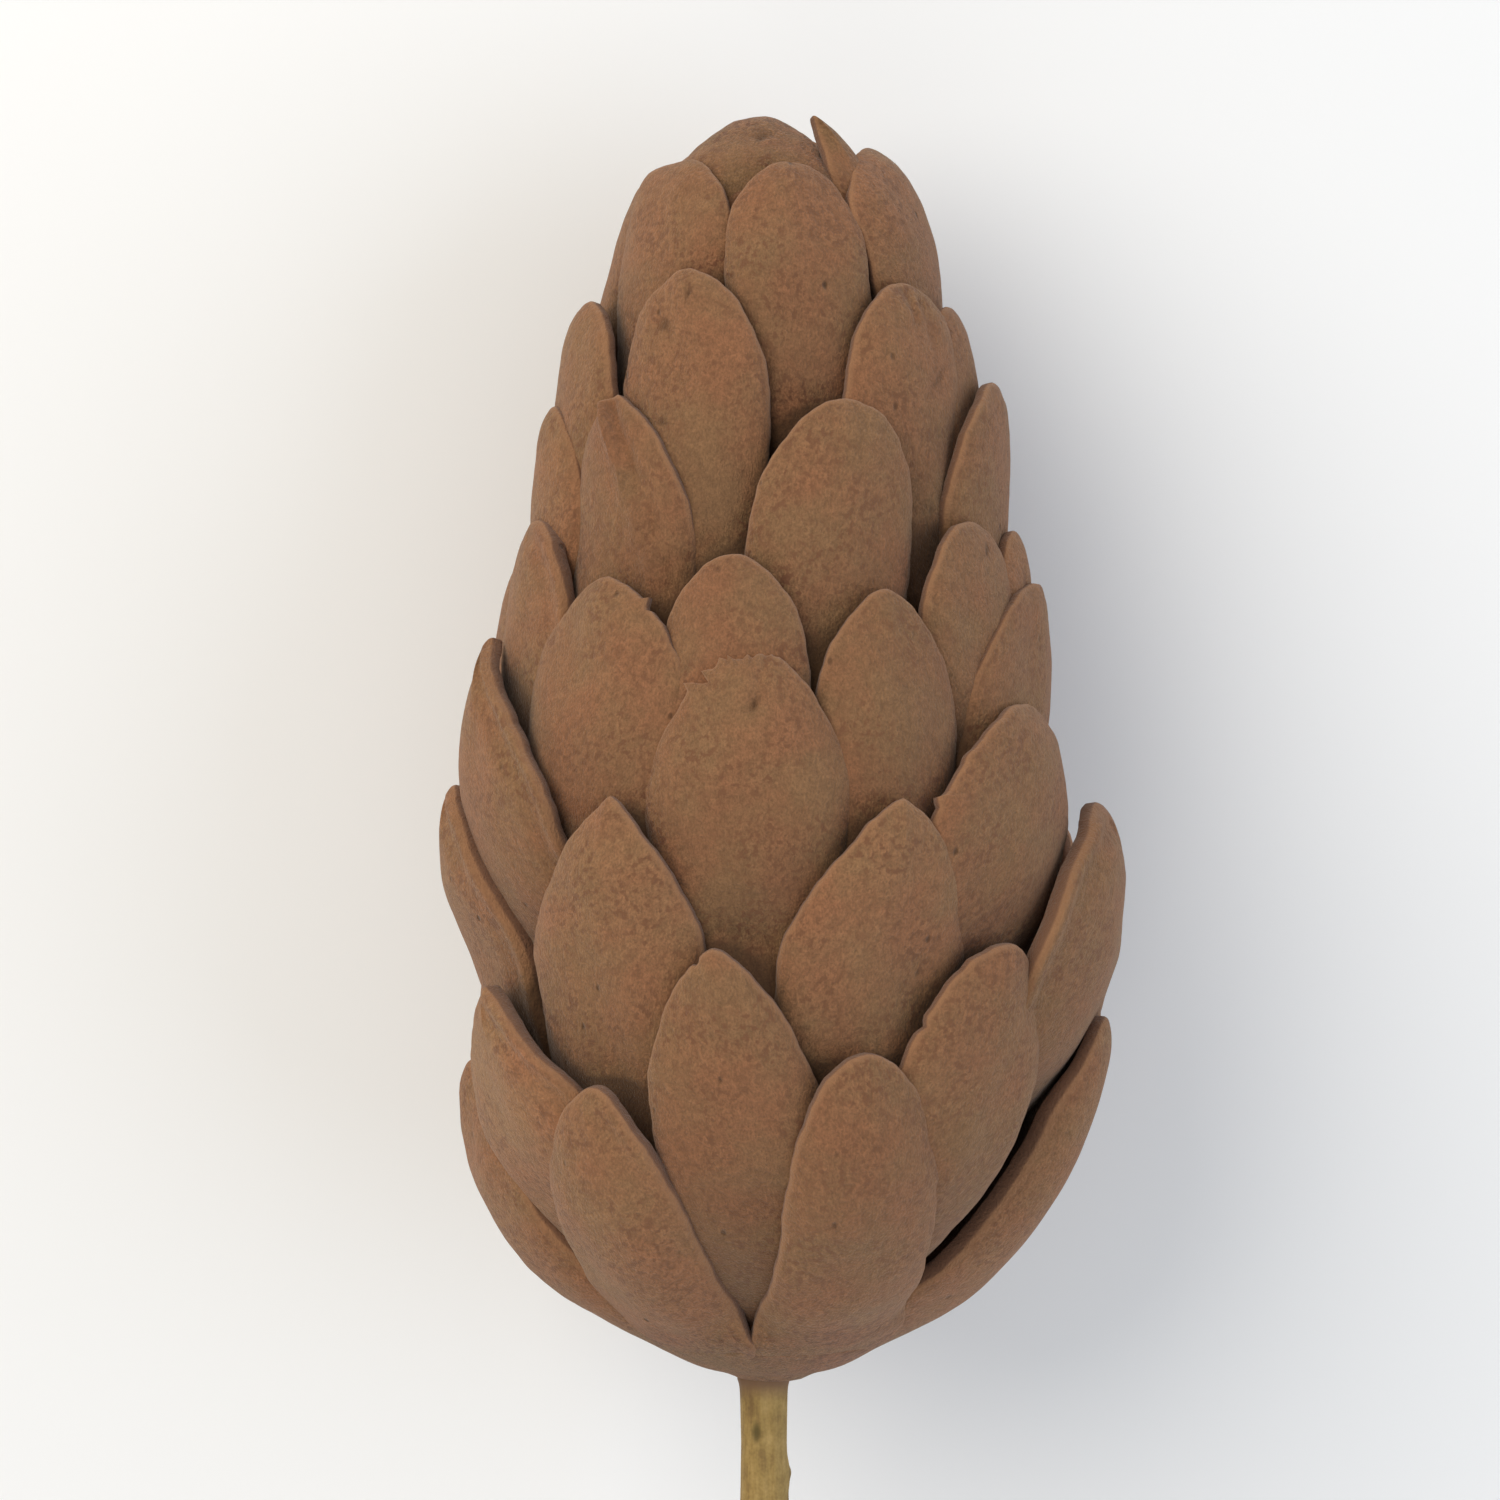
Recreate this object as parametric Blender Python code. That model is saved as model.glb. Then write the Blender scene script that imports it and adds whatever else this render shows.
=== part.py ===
"""Closed, felted cone with leaf-like scales, on its own cut stem, lying on its side.

The head is worked out in a frame of its own: height runs up its axis from the stem, turn goes round
the axis from the side that faces up, and lift stands out from its outline. It is then laid down on
z = 0 with its tip towards +Y. Metres and radians in the mesh, millimetres and degrees in the lists.
"""
import math
import random

import bmesh
import bpy
from mathutils import Vector

MM = 0.001

# Outline of the closed head, height and radius in millimetres, from the stem up to the tip
OUTLINE = [
    (0.0, 0.0), (0.0, 1.9), (0.5, 3.2), (1.7, 6.6), (7.0, 15.5), (14.0, 20.9), (21.1, 23.0), (28.0, 23.5),
    (36.0, 24.0), (44.5, 22.7), (58.7, 18.6), (72.9, 15.1), (81.4, 11.8), (87.2, 7.2), (89.7, 0.0),
]
STEPS_BETWEEN_POINTS = 16

# Scales
BLADE_THICKNESS = 1.4 * MM
SCALE_CROWN = 0.5 * MM
TIP_CURL = 0.5 * MM
TIP_CURL_LENGTH = 6.0 * MM
ROOT_DEPTH = 3.6 * MM
LIP_LENGTH = 6.0 * MM
SINK_LIMIT = 22.0 * MM
ROOT_WIDTH_SHARE = 0.95
SMALLEST_BEND = 6.0 * MM
SMALLEST_SLANT = 0.05
DEEPEST_SHARE = 0.5
LOWEST_ROOT = 1.5 * MM
WIDEST_FOR_RADIUS = 0.62
TOP_FULLNESS = 1.6
UNDERSIDE_FULLNESS = 1.3
SCALE_SIDES = 10
SCALE_RINGS = 8
SCALE_RINGS_TO_TIP = 1.5

# How much the hidden scales differ from one another: degrees, millimetres and shares
TURN_SPREAD = 3.0
TIP_HEIGHT_SPREAD = (-2.4, 0.2)
WIDTH_SPREAD = (0.94, 1.0)
POINT_SPREAD = (0.0, 0.7)
LEAN_SPREAD = 0.1
STAND_OFF_SPREAD = (0.0, 0.2)
JITTER_SEED = 2

# Core that the scales stand on
CORE_BELOW_OUTLINE = 3.4 * MM
CORE_FULL_DEPTH_FROM = 0.12
CORE_SIDES = 20
CORE_RINGS = 18
CORE_RINGS_TO_BASE = 1.5

# Stem
STEM_DIAMETER = 3.3 * MM
STEM_LENGTH = 32.0 * MM
STEM_OFFSET = -0.6 * MM
STEM_GAP = 0.3 * MM
WELD_DISTANCE = 0.01 * MM
# Share of the length, sideways shift, shift towards the upper side (mm) and share of the diameter
STEM_COURSE = [
    (0.0, 0.0, 0.0, 1.02), (0.13, 0.02, 0.03, 0.98), (0.27, 0.05, 0.05, 1.05), (0.42, 0.10, 0.02, 0.98),
    (0.58, 0.20, -0.05, 0.97), (0.72, 0.34, -0.12, 1.06), (0.86, 0.42, -0.20, 0.98), (1.0, 0.46, -0.26, 1.0),
]

# How the cone lies: degrees that its tip dips and that it is rolled, and how much is trimmed off its
# lowest scales, so that it rests on small flats
TIP_DOWN = 6.0
ROLL = 2.0
REST_TRIM = 0.35 * MM
GROUND_SIZE = (300 * MM, 300 * MM, 20 * MM)

# Rows from the stem up. A front scale is turn and height of its tip, width, point (0 round, 1 sharp),
# lean (how far its root runs sideways for each step down), how far its tip stands off and how far its
# middle swells. The hidden scales of a row fill the round behind, between the turns in "back".
ROWS = [
    dict(length=33, shoulder=13, sink=0.0, hidden=3, back=(73, 280), front=[
        (-80, 22.6, 12.0, 0.2, 0.0, -0.7, 0.8), (-34, 21.5, 12.2, 0.4, -0.06, 0.2, 0.0),
        (16.5, 24.0, 12.0, 0.0, 0.08, 0.2, 0.0), (73, 26.0, 12.2, 0.2, 0.0, 1.4, -1.2)]),
    dict(length=35, shoulder=11, sink=0.10, hidden=5, back=(60, 286), front=[
        (-62, 28.2, 16.0, 0.9, 0.33, 0.2, 0.0), (-10.5, 31.0, 13.6, 0.7, 0.10, 0.0, 0.0),
        (42.2, 31.3, 13.6, 0.2, -0.05, 0.0, 0.0)]),
    dict(length=32, shoulder=12, sink=0.13, hidden=4, back=(77, 276), front=[
        (-84, 42.0, 13.6, 0.5, 0.05, 0.6, -0.9), (-29.6, 41.6, 16.6, 1.0, -0.12, 0.0, 0.0),
        (23.5, 41.6, 16.4, 0.9, -0.10, 0.0, 0.0), (77, 40.8, 15.5, 0.3, -0.30, 1.0, 1.6)]),
    dict(length=30, shoulder=11, sink=0.13, hidden=4, back=(106, 290), front=[
        (-72, 51.9, 14.0, 1.3, 0.42, 0.9, 0.5), (-4.8, 51.6, 17.4, 0.55, 0.0, 0.0, 0.0),
        (52.5, 48.0, 17.0, 0.3, -0.35, 0.0, 0.0), (106, 50.0, 16.0, 0.3, 0.0, -1.8, 0.0)]),
    dict(length=28, shoulder=9, sink=0.13, hidden=5, back=(87.5, 309), front=[
        (-66, 60.8, 12.0, 0.2, 0.15, 0.2, 0.0), (-38, 56.7, 16.8, 0.7, -0.05, 0.2, 0.0),
        (-8.9, 58.1, 12.6, 0.2, 0.0, -0.2, 0.0), (24.5, 55.8, 12.6, 0.6, 0.0, 0.0, 0.0),
        (51, 60.4, 12.8, 0.1, 0.0, 0.0, 0.0), (73, 60.0, 9.5, 0.2, 0.0, 0.4, -0.4),
        (73, 56.3, 13.0, 0.3, -0.30, 0.5, -1.1)]),
    dict(length=26, shoulder=10, sink=0.13, hidden=5, back=(60, 290), front=[
        (-75, 68.7, 12.5, 0.2, 0.0, 0.3, 0.0), (-45.6, 69.3, 13.8, 0.7, 0.13, 0.0, 0.0),
        (19.2, 68.9, 14.6, 0.35, -0.12, 0.2, 0.0), (71.5, 70.1, 13.0, 0.2, -0.10, 0.9, -0.5)]),
    dict(length=25, shoulder=10, sink=0.13, hidden=4, back=(79, 271), front=[
        (-68, 76.0, 12.5, 0.1, -0.10, 0.6, 0.4), (-26.6, 78.0, 13.9, 0.35, 0.05, 0.2, 0.0),
        (41.5, 76.9, 13.0, 0.1, 0.0, 0.0, 0.0), (70, 75.6, 11.0, 0.2, 0.0, 0.0, 0.0)]),
    dict(length=24, shoulder=8, sink=0.13, hidden=5, back=(57, 299), front=[
        (-50, 85.4, 13.4, 0.0, 0.12, 0.3, 0.0), (8.5, 85.3, 12.2, 0.0, 0.0, 0.0, 0.0),
        (55, 88.9, 11.0, 1.0, -0.10, 1.0, 0.3)]),
    dict(length=20, shoulder=7, sink=0.13, hidden=0, back=(68, 346), front=[
        (-18, 89.6, 14.4, 0.0, 0.0, 0.2, 0.0), (26, 87.2, 6.5, 0.4, 0.0, 0.7, 0.0),
        (165, 87.6, 12.0, 0.2, 0.0, 0.0, 0.0), (250, 86.4, 12.0, 0.2, 0.0, -0.3, 0.0)]),
]

HEAD_BROWN = (0.196, 0.098, 0.058)
STEM_KHAKI = (0.305, 0.205, 0.085)


def clear_scene():
    for thing in list(bpy.data.objects):
        bpy.data.objects.remove(thing, do_unlink=True)


def material(name, colour, roughness):
    finish = bpy.data.materials.new(name)
    finish.use_nodes = True
    shader = finish.node_tree.nodes["Principled BSDF"]
    shader.inputs["Base Color"].default_value = (*colour, 1.0)
    shader.inputs["Roughness"].default_value = roughness
    shader.inputs["Metallic"].default_value = 0.0
    finish.diffuse_color = (*colour, 1.0)
    return finish


def smooth_point(before, start, end, after, share):
    """Point on the smooth curve that runs from start to end, past its neighbours."""
    return 0.5 * (2 * start + (end - before) * share
                  + (2 * before - 5 * start + 4 * end - after) * share ** 2
                  + (3 * start - before - 3 * end + after) * share ** 3)


def make_meridian():
    """The outline as many short steps: distance along it, height and radius, in metres."""
    points = [Vector((radius, height)) * MM for height, radius in OUTLINE]
    mirrored_start = Vector((-points[1].x, points[1].y))
    mirrored_end = Vector((-points[-2].x, points[-2].y))
    points = [mirrored_start] + points + [mirrored_end]
    steps = []
    for i in range(1, len(points) - 2):
        for k in range(STEPS_BETWEEN_POINTS):
            share = k / STEPS_BETWEEN_POINTS
            steps.append(smooth_point(points[i - 1], points[i], points[i + 1], points[i + 2], share))
    steps.append(points[-2])
    distances = [0.0]
    for before, after in zip(steps, steps[1:]):
        distances.append(distances[-1] + (after - before).length)
    return distances, steps


MERIDIAN_DISTANCES, MERIDIAN_STEPS = make_meridian()


def along_meridian(distance):
    """Radius and height at a distance from the stem, and the direction that faces out there."""
    distance = min(max(distance, 0.0), MERIDIAN_DISTANCES[-1])
    k = 0
    while k < len(MERIDIAN_DISTANCES) - 2 and MERIDIAN_DISTANCES[k + 1] < distance:
        k += 1
    step = MERIDIAN_STEPS[k + 1] - MERIDIAN_STEPS[k]
    share = (distance - MERIDIAN_DISTANCES[k]) / step.length
    spot = MERIDIAN_STEPS[k] + step * share
    return spot, Vector((step.y, -step.x)).normalized()


def distance_at_height(height):
    for distance, spot in zip(MERIDIAN_DISTANCES, MERIDIAN_STEPS):
        if spot.y >= height:
            return distance
    return MERIDIAN_DISTANCES[-1]


def on_head(turn, distance, across, lift):
    """A place on the head: a strip laid up it at a turn, curved round it as the outline asks."""
    spot, out = along_meridian(distance)
    bend = max(spot.x / max(out.x, SMALLEST_SLANT), SMALLEST_BEND)
    lift = max(lift, -DEEPEST_SHARE * bend)
    angle = across / bend
    raised = (bend + lift) * math.cos(angle) - bend
    sideways = (bend + lift) * math.sin(angle)
    radius = spot.x + out.x * raised
    height = spot.y + out.y * raised
    return Vector((radius * math.sin(turn) + sideways * math.cos(turn), height,
                   radius * math.cos(turn) - sideways * math.sin(turn)))


def half_width_share(below_tip, shoulder, point):
    """How wide a scale is below its tip: an arch that opens to the shoulder, then a slow taper."""
    if below_tip >= shoulder:
        return 1.0
    start = 1.0 - below_tip / shoulder
    return (1.0 - start ** (2.0 - 0.5 * point)) ** (1.0 / (2.0 - 0.85 * point))


def scale_mesh(row, turn, tip_height, width, point, lean, stand_off, swell):
    """One scale: a ball drawn out into a thick blade, its tip free and its root sunk in the core."""
    mesh = bpy.data.meshes.new("scale")
    ball = bmesh.new()
    bmesh.ops.create_uvsphere(ball, u_segments=SCALE_SIDES, v_segments=SCALE_RINGS, radius=1.0)
    tip = distance_at_height(tip_height * MM)
    length = min(row["length"] * MM, tip - LOWEST_ROOT)
    shoulder = row["shoulder"] * MM
    for vertex in ball.verts:
        polar = math.acos(min(max(-vertex.co.z, -1.0), 1.0)) / math.pi
        below = length * polar ** SCALE_RINGS_TO_TIP
        side = 0.0 if polar in (0.0, 1.0) else math.atan2(vertex.co.y, vertex.co.x)
        spread = math.cos(side)
        face = math.sin(side)
        past = max(0.0, (below - shoulder) / max(length - shoulder, MM))
        taper = 1.0 if row["sink"] == 0.0 else 1.0 - (1.0 - ROOT_WIDTH_SHARE) * past
        half = 0.5 * width * MM * half_width_share(below, shoulder, point) * taper
        spot, _ = along_meridian(tip - below)
        half = min(half, WIDEST_FOR_RADIUS * (spot.x + LOWEST_ROOT))
        if polar == 1.0:
            half = 0.0
        bared = min(1.0, below / (2.0 * shoulder))
        top = MM * (stand_off * (1.0 - bared ** 2) + swell * math.sin(math.pi * bared))
        top -= row["sink"] * min(below, SINK_LIMIT) + SCALE_CROWN * spread ** 2
        top -= TIP_CURL * max(0.0, 1.0 - below / TIP_CURL_LENGTH) ** 2
        edge = top - 0.5 * BLADE_THICKNESS
        if face >= 0.0:
            lift = edge + 0.5 * BLADE_THICKNESS * min(1.0, face * TOP_FULLNESS)
        else:
            bottom = top - BLADE_THICKNESS - ROOT_DEPTH * min(1.0, below / LIP_LENGTH) ** 2
            lift = edge + (bottom - edge) * min(1.0, -face * UNDERSIDE_FULLNESS)
        vertex.co = on_head(math.radians(turn), tip - below, half * spread + lean * below, lift)
    ball.to_mesh(mesh)
    ball.free()
    return mesh


def row_places(row, dice):
    """The front scales as listed, and the hidden ones spread evenly round the back."""
    places = list(row["front"])
    first, last = row["back"]
    gap = (last - first) / (row["hidden"] + 1)
    tip_height = sum(place[1] for place in row["front"]) / len(row["front"])
    width = max(place[2] for place in row["front"])
    for k in range(row["hidden"]):
        turn = first + gap * (k + 1) + dice.uniform(-TURN_SPREAD, TURN_SPREAD)
        places.append((turn, tip_height + dice.uniform(*TIP_HEIGHT_SPREAD),
                       width * dice.uniform(*WIDTH_SPREAD), dice.uniform(*POINT_SPREAD), dice.uniform(-LEAN_SPREAD, LEAN_SPREAD),
                       dice.uniform(*STAND_OFF_SPREAD), 0.0))
    return places


def core_mesh():
    """The woody middle: the outline, drawn in a little and turned round the axis."""
    mesh = bpy.data.meshes.new("core")
    ball = bmesh.new()
    bmesh.ops.create_uvsphere(ball, u_segments=CORE_SIDES, v_segments=CORE_RINGS, radius=1.0)
    whole = MERIDIAN_DISTANCES[-1]
    for vertex in ball.verts:
        polar = 1.0 - math.acos(min(max(vertex.co.z, -1.0), 1.0)) / math.pi
        share = polar ** CORE_RINGS_TO_BASE
        turn = math.atan2(-vertex.co.x, vertex.co.y)
        spot, out = along_meridian(whole * share)
        sunk = CORE_BELOW_OUTLINE * min(1.0, share / CORE_FULL_DEPTH_FROM)
        radius = max(spot.x - out.x * sunk, 0.0)
        if share in (0.0, 1.0):
            radius = 0.0
        vertex.co = Vector((radius * math.sin(turn), spot.y - out.y * sunk, radius * math.cos(turn)))
    ball.to_mesh(mesh)
    ball.free()
    return mesh


def bodies_of(shape):
    """The separate closed bodies in a bmesh, as lists of faces."""
    left = set(shape.faces)
    bodies = []
    while left:
        to_visit = [left.pop()]
        body = list(to_visit)
        while to_visit:
            face = to_visit.pop()
            for edge in face.edges:
                for neighbour in edge.link_faces:
                    if neighbour in left:
                        left.remove(neighbour)
                        body.append(neighbour)
                        to_visit.append(neighbour)
        bodies.append(body)
    return bodies


def keep_outer_skin(mesh):
    """Fills the hollows that fusing sealed and drops loose scraps: only the largest body stays."""
    shape = bmesh.new()
    shape.from_mesh(mesh)
    bodies = sorted(bodies_of(shape), key=len)
    for body in bodies[:-1]:
        corners = {vertex for face in body for vertex in face.verts}
        bmesh.ops.delete(shape, geom=list(corners), context="VERTS")
    shape.to_mesh(mesh)
    shape.free()
    print("hollows and scraps removed:", len(bodies) - 1)


def apply_boolean(thing, operation, name, other=None, others=None):
    """Joins or cuts with one object or a whole collection, and keeps the result as the mesh."""
    boolean = thing.modifiers.new(name, "BOOLEAN")
    boolean.operation = operation
    boolean.solver = "MANIFOLD"
    if others is not None:
        boolean.operand_type = "COLLECTION"
        boolean.collection = others
    else:
        boolean.object = other
    evaluated = thing.evaluated_get(bpy.context.evaluated_depsgraph_get())
    result = bpy.data.meshes.new_from_object(evaluated)
    thing.modifiers.clear()
    thing.data = result
    keep_outer_skin(result)


def make_cone(parts, finish):
    """Core and scales, fused in one closed body."""
    cone = bpy.data.objects.new("cone", core_mesh())
    parts.objects.link(cone)
    scales = bpy.data.collections.new("scales")
    bpy.context.scene.collection.children.link(scales)
    dice = random.Random(JITTER_SEED)
    for row in ROWS:
        for place in row_places(row, dice):
            scales.objects.link(bpy.data.objects.new("scale", scale_mesh(row, *place)))
    print("scales:", len(scales.objects))
    apply_boolean(cone, "UNION", "fuse the scales", others=scales)
    for scale in list(scales.objects):
        bpy.data.objects.remove(scale, do_unlink=True)
    bpy.data.collections.remove(scales)
    cone.data.name = "cone"
    cone.data.materials.clear()
    cone.data.materials.append(finish)
    return cone


def make_stem(parts, finish):
    """The cut twig: a tube along a slightly uneven course, a little thicker at its leaf scars."""
    line = bpy.data.curves.new("stem line", "CURVE")
    line.dimensions = "3D"
    line.bevel_depth = STEM_DIAMETER / 2
    line.bevel_resolution = 4
    line.use_fill_caps = True
    spline = line.splines.new("POLY")
    spline.points.add(len(STEM_COURSE) - 1)
    for point, (share, sideways, upwards, thickness) in zip(spline.points, STEM_COURSE):
        down_the_stem = -STEM_GAP - share * STEM_LENGTH
        point.co = (STEM_OFFSET + sideways * MM, down_the_stem, upwards * MM, 1.0)
        point.radius = thickness
    guide = bpy.data.objects.new("stem line", line)
    parts.objects.link(guide)
    mesh = bpy.data.meshes.new_from_object(guide.evaluated_get(bpy.context.evaluated_depsgraph_get()))
    bpy.data.objects.remove(guide, do_unlink=True)
    rod = bmesh.new()
    rod.from_mesh(mesh)
    bmesh.ops.remove_doubles(rod, verts=rod.verts, dist=WELD_DISTANCE)
    rod.to_mesh(mesh)
    rod.free()
    mesh.name = "stem"
    mesh.materials.clear()
    mesh.materials.append(finish)
    stem = bpy.data.objects.new("stem", mesh)
    parts.objects.link(stem)
    return stem


def world_corners(things):
    bpy.context.view_layer.update()
    spots = [thing.matrix_world @ vertex.co for thing in things for vertex in thing.data.vertices]
    low = Vector([min(spot[i] for spot in spots) for i in range(3)])
    high = Vector([max(spot[i] for spot in spots) for i in range(3)])
    return low, high


def lay_down(parts, cutters, cone, stem):
    """Tips the cone onto its side and trims the lowest scales to small flats that it rests on."""
    pose = bpy.data.objects.new("lying", None)
    parts.objects.link(pose)
    for piece in (cone, stem):
        piece.parent = pose
    pose.rotation_mode = "YXZ"
    pose.rotation_euler = (math.radians(-TIP_DOWN), math.radians(ROLL), 0.0)
    low, high = world_corners([cone, stem])
    middle = (low + high) / 2
    pose.location = (-middle.x, -middle.y, -low.z - REST_TRIM)
    print("base comes to, mm:", [round(value / MM, 3) for value in pose.location])
    world_corners([cone, stem])
    mesh = bpy.data.meshes.new("ground")
    block = bmesh.new()
    bmesh.ops.create_cube(block, size=1.0)
    bmesh.ops.scale(block, vec=GROUND_SIZE, verts=block.verts)
    bmesh.ops.translate(block, vec=(0.0, 0.0, -GROUND_SIZE[2] / 2), verts=block.verts)
    block.to_mesh(mesh)
    block.free()
    ground = bpy.data.objects.new("ground", mesh)
    ground.hide_render = True
    ground.display_type = "WIRE"
    cutters.objects.link(ground)
    apply_boolean(cone, "DIFFERENCE", "flat spots", other=ground)


def main():
    clear_scene()
    parts = bpy.data.collections.new("felted cone on its stem")
    cutters = bpy.data.collections.new("cutters")
    bpy.context.scene.collection.children.link(parts)
    bpy.context.scene.collection.children.link(cutters)
    cone = make_cone(parts, material("felted scale skin", HEAD_BROWN, 0.95))
    stem = make_stem(parts, material("dried twig bark", STEM_KHAKI, 0.75))
    lay_down(parts, cutters, cone, stem)


main()
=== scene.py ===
# %% [markdown]
# # A closed, felted cone on its cut stem
#
# The object is the dried head of a bush: a closed cone, about 90 mm long, of leaf-like scales that lie
# over one another like roof tiles, each covered in a fine brown felt. It ends in the thin twig that it
# grew on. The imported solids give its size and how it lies. This script puts finer pieces in their place
# and gives them their finish.

# %% Load the solids that fix every size
import math
import random
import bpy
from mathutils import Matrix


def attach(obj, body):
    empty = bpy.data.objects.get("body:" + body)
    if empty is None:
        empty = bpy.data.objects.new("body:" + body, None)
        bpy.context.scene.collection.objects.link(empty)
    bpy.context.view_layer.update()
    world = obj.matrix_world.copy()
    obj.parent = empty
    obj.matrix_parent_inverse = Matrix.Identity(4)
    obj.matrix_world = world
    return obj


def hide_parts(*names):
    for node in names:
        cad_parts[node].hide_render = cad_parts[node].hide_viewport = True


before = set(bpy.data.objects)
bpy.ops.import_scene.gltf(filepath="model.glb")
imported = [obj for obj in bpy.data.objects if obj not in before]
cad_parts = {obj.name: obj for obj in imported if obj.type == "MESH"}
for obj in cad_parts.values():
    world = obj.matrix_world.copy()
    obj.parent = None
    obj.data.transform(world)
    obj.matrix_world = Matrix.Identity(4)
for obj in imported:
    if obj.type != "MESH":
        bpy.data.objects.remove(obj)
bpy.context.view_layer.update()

from types import SimpleNamespace

import bpy
import numpy as np
from mathutils import Euler, Matrix, Vector

print("solids:", sorted(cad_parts))

# %% [markdown]
# ## Where the cone lies
#
# It is easier to think of the head standing up: height runs along its axis from the stem, and turn goes
# round the axis from the side that faces the camera. All of it is worked out in millimetres in that
# upright frame, and one matrix then rolls it, tips it and lays it on the floor, as the solids lie.

# %% The matrix that lays the head down
MM = 0.001
TIP_DOWN = 6.0
ROLL = 2.0
BASE_AT_MM = (-0.869, -28.314, 26.082)

turned = Euler((math.radians(-TIP_DOWN), math.radians(ROLL), 0.0), "YXZ").to_matrix().to_4x4()
LAID_DOWN = Matrix.Translation(Vector(BASE_AT_MM)) @ turned
LAID_DOWN_ARRAY = np.array(LAID_DOWN)


def to_world(points_mm):
    """Points of the upright head, in mm, as places on the floor, in metres. None goes below the floor."""
    laid = points_mm @ LAID_DOWN_ARRAY[:3, :3].T + LAID_DOWN_ARRAY[:3, 3]
    laid[:, 2] = np.maximum(laid[:, 2], 0.0)
    return laid * MM


print("the base of the head lies at", BASE_AT_MM, "mm, and its tip points", TIP_DOWN, "degrees down")

# %% [markdown]
# ## The outline of the head
#
# A closed cone is nearly a solid of revolution, so its outline is one smooth curve of height against
# radius. The curve is walked in small steps, because the scales are laid along it by their true length.

# %% The outline as a walk from the stem to the tip
OUTLINE = [
    (0.0, 0.0), (0.0, 1.9), (0.5, 3.2), (1.7, 6.6), (7.0, 15.4), (14.0, 20.9), (21.1, 23.0), (28.0, 23.5),
    (36.0, 24.0), (44.5, 22.7), (58.7, 18.6), (72.9, 15.1), (81.4, 11.8), (87.2, 7.2), (89.7, 0.0),
]
STEPS_BETWEEN_POINTS = 48


def walk_outline():
    """Distance walked, radius, height and the direction that faces out, at each small step. The curve
    goes through each point, and its direction there follows the points on both sides."""
    points = np.array([(radius, height) for height, radius in OUTLINE])
    first = points[1] * (-1.0, 1.0)
    last = points[-2] * (-1.0, 1.0)
    points = np.vstack([first, points, last])
    share = np.arange(STEPS_BETWEEN_POINTS)[:, None] / STEPS_BETWEEN_POINTS
    runs = []
    for before, start, end, after in zip(points, points[1:], points[2:], points[3:]):
        runs.append(0.5 * (2 * start + (end - before) * share
                           + (2 * before - 5 * start + 4 * end - after) * share ** 2
                           + (3 * start - before - 3 * end + after) * share ** 3))
    steps = np.vstack(runs + [points[-2][None]])
    pace = np.gradient(steps, axis=0)
    pace /= np.linalg.norm(pace, axis=1)[:, None]
    walked = np.concatenate([[0.0], np.cumsum(np.linalg.norm(np.diff(steps, axis=0), axis=1))])
    return walked, steps[:, 0], steps[:, 1], pace[:, 1], -pace[:, 0]


WALKED, RADII, HEIGHTS, OUT_SIDEWAYS, OUT_UP = walk_outline()
print("the outline is", round(WALKED[-1], 1), "mm long from stem to tip")

# %% [markdown]
# ## Laying a scale on the head
#
# A scale is drawn flat, as millimetres across and millimetres along, and then wrapped on the head the
# way a strip of paper would be: up the outline, and bent round it with the head's own curve. Lift is how
# far a point stands out from the outline. This keeps every scale's true width and length. Near the stem
# the axis leaves the straight line a little, because the base grew askew.

# %% Wrap flat places on the head
SMALLEST_BEND = 6.0
SMALLEST_SLANT = 0.05
DEEPEST_SHARE = 0.5
SWAY = -0.45
SWAY_HEIGHT = 4.2
SWAY_LENGTH = 3.0


def sway(height):
    """How far the axis leaves the straight line near the stem, in mm."""
    return SWAY * np.exp(-((height - SWAY_HEIGHT) / SWAY_LENGTH) ** 2)


def on_head(turn, distance, across, lift, straight_from):
    """Wraps a strip laid up the head at a turn, in radians. The rest are in mm. Past straight_from the
    strip stands straight up and no longer follows the head."""
    upright = np.maximum(distance - straight_from, 0.0)
    distance = np.clip(np.minimum(distance, straight_from), 0.0, WALKED[-1])
    spot_radius, spot_height, out_sideways, out_up = (
        np.interp(distance, WALKED, curve) for curve in (RADII, HEIGHTS, OUT_SIDEWAYS, OUT_UP))
    bend = np.maximum(spot_radius / np.maximum(out_sideways, SMALLEST_SLANT), SMALLEST_BEND)
    lift = np.maximum(lift, -DEEPEST_SHARE * bend)
    angle = across / bend
    raised = (bend + lift) * np.cos(angle) - bend
    sideways = (bend + lift) * np.sin(angle)
    radius = spot_radius + out_sideways * raised - out_up * upright
    height = spot_height + out_up * raised + out_sideways * upright
    return np.stack([radius * math.sin(turn) + sideways * math.cos(turn) + sway(height), height,
                     radius * math.cos(turn) - sideways * math.sin(turn)], axis=-1)


# %% [markdown]
# ## The list of scales
#
# Nature puts the scales on in rows that step round the head. The ones that the camera sees are listed
# one by one, because their places give the cone its face: turn and height of the tip, width, how pointed
# the tip is, which way the root leans, how far the tip stands off, and how far the middle swells. The
# ones round the back are spread evenly between two turns, with small differences from a seeded dice.
#
# A row gives what its scales share: `length`, how far below the tip the `shoulder` is, how steeply the
# blade `sink`s towards its root, how far the root's end takes a `dive`, the roundness (`pillow`) of its
# sides, how many are `hidden` and the turns at the `back` that they lie between. Lengths are in mm.

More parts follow.
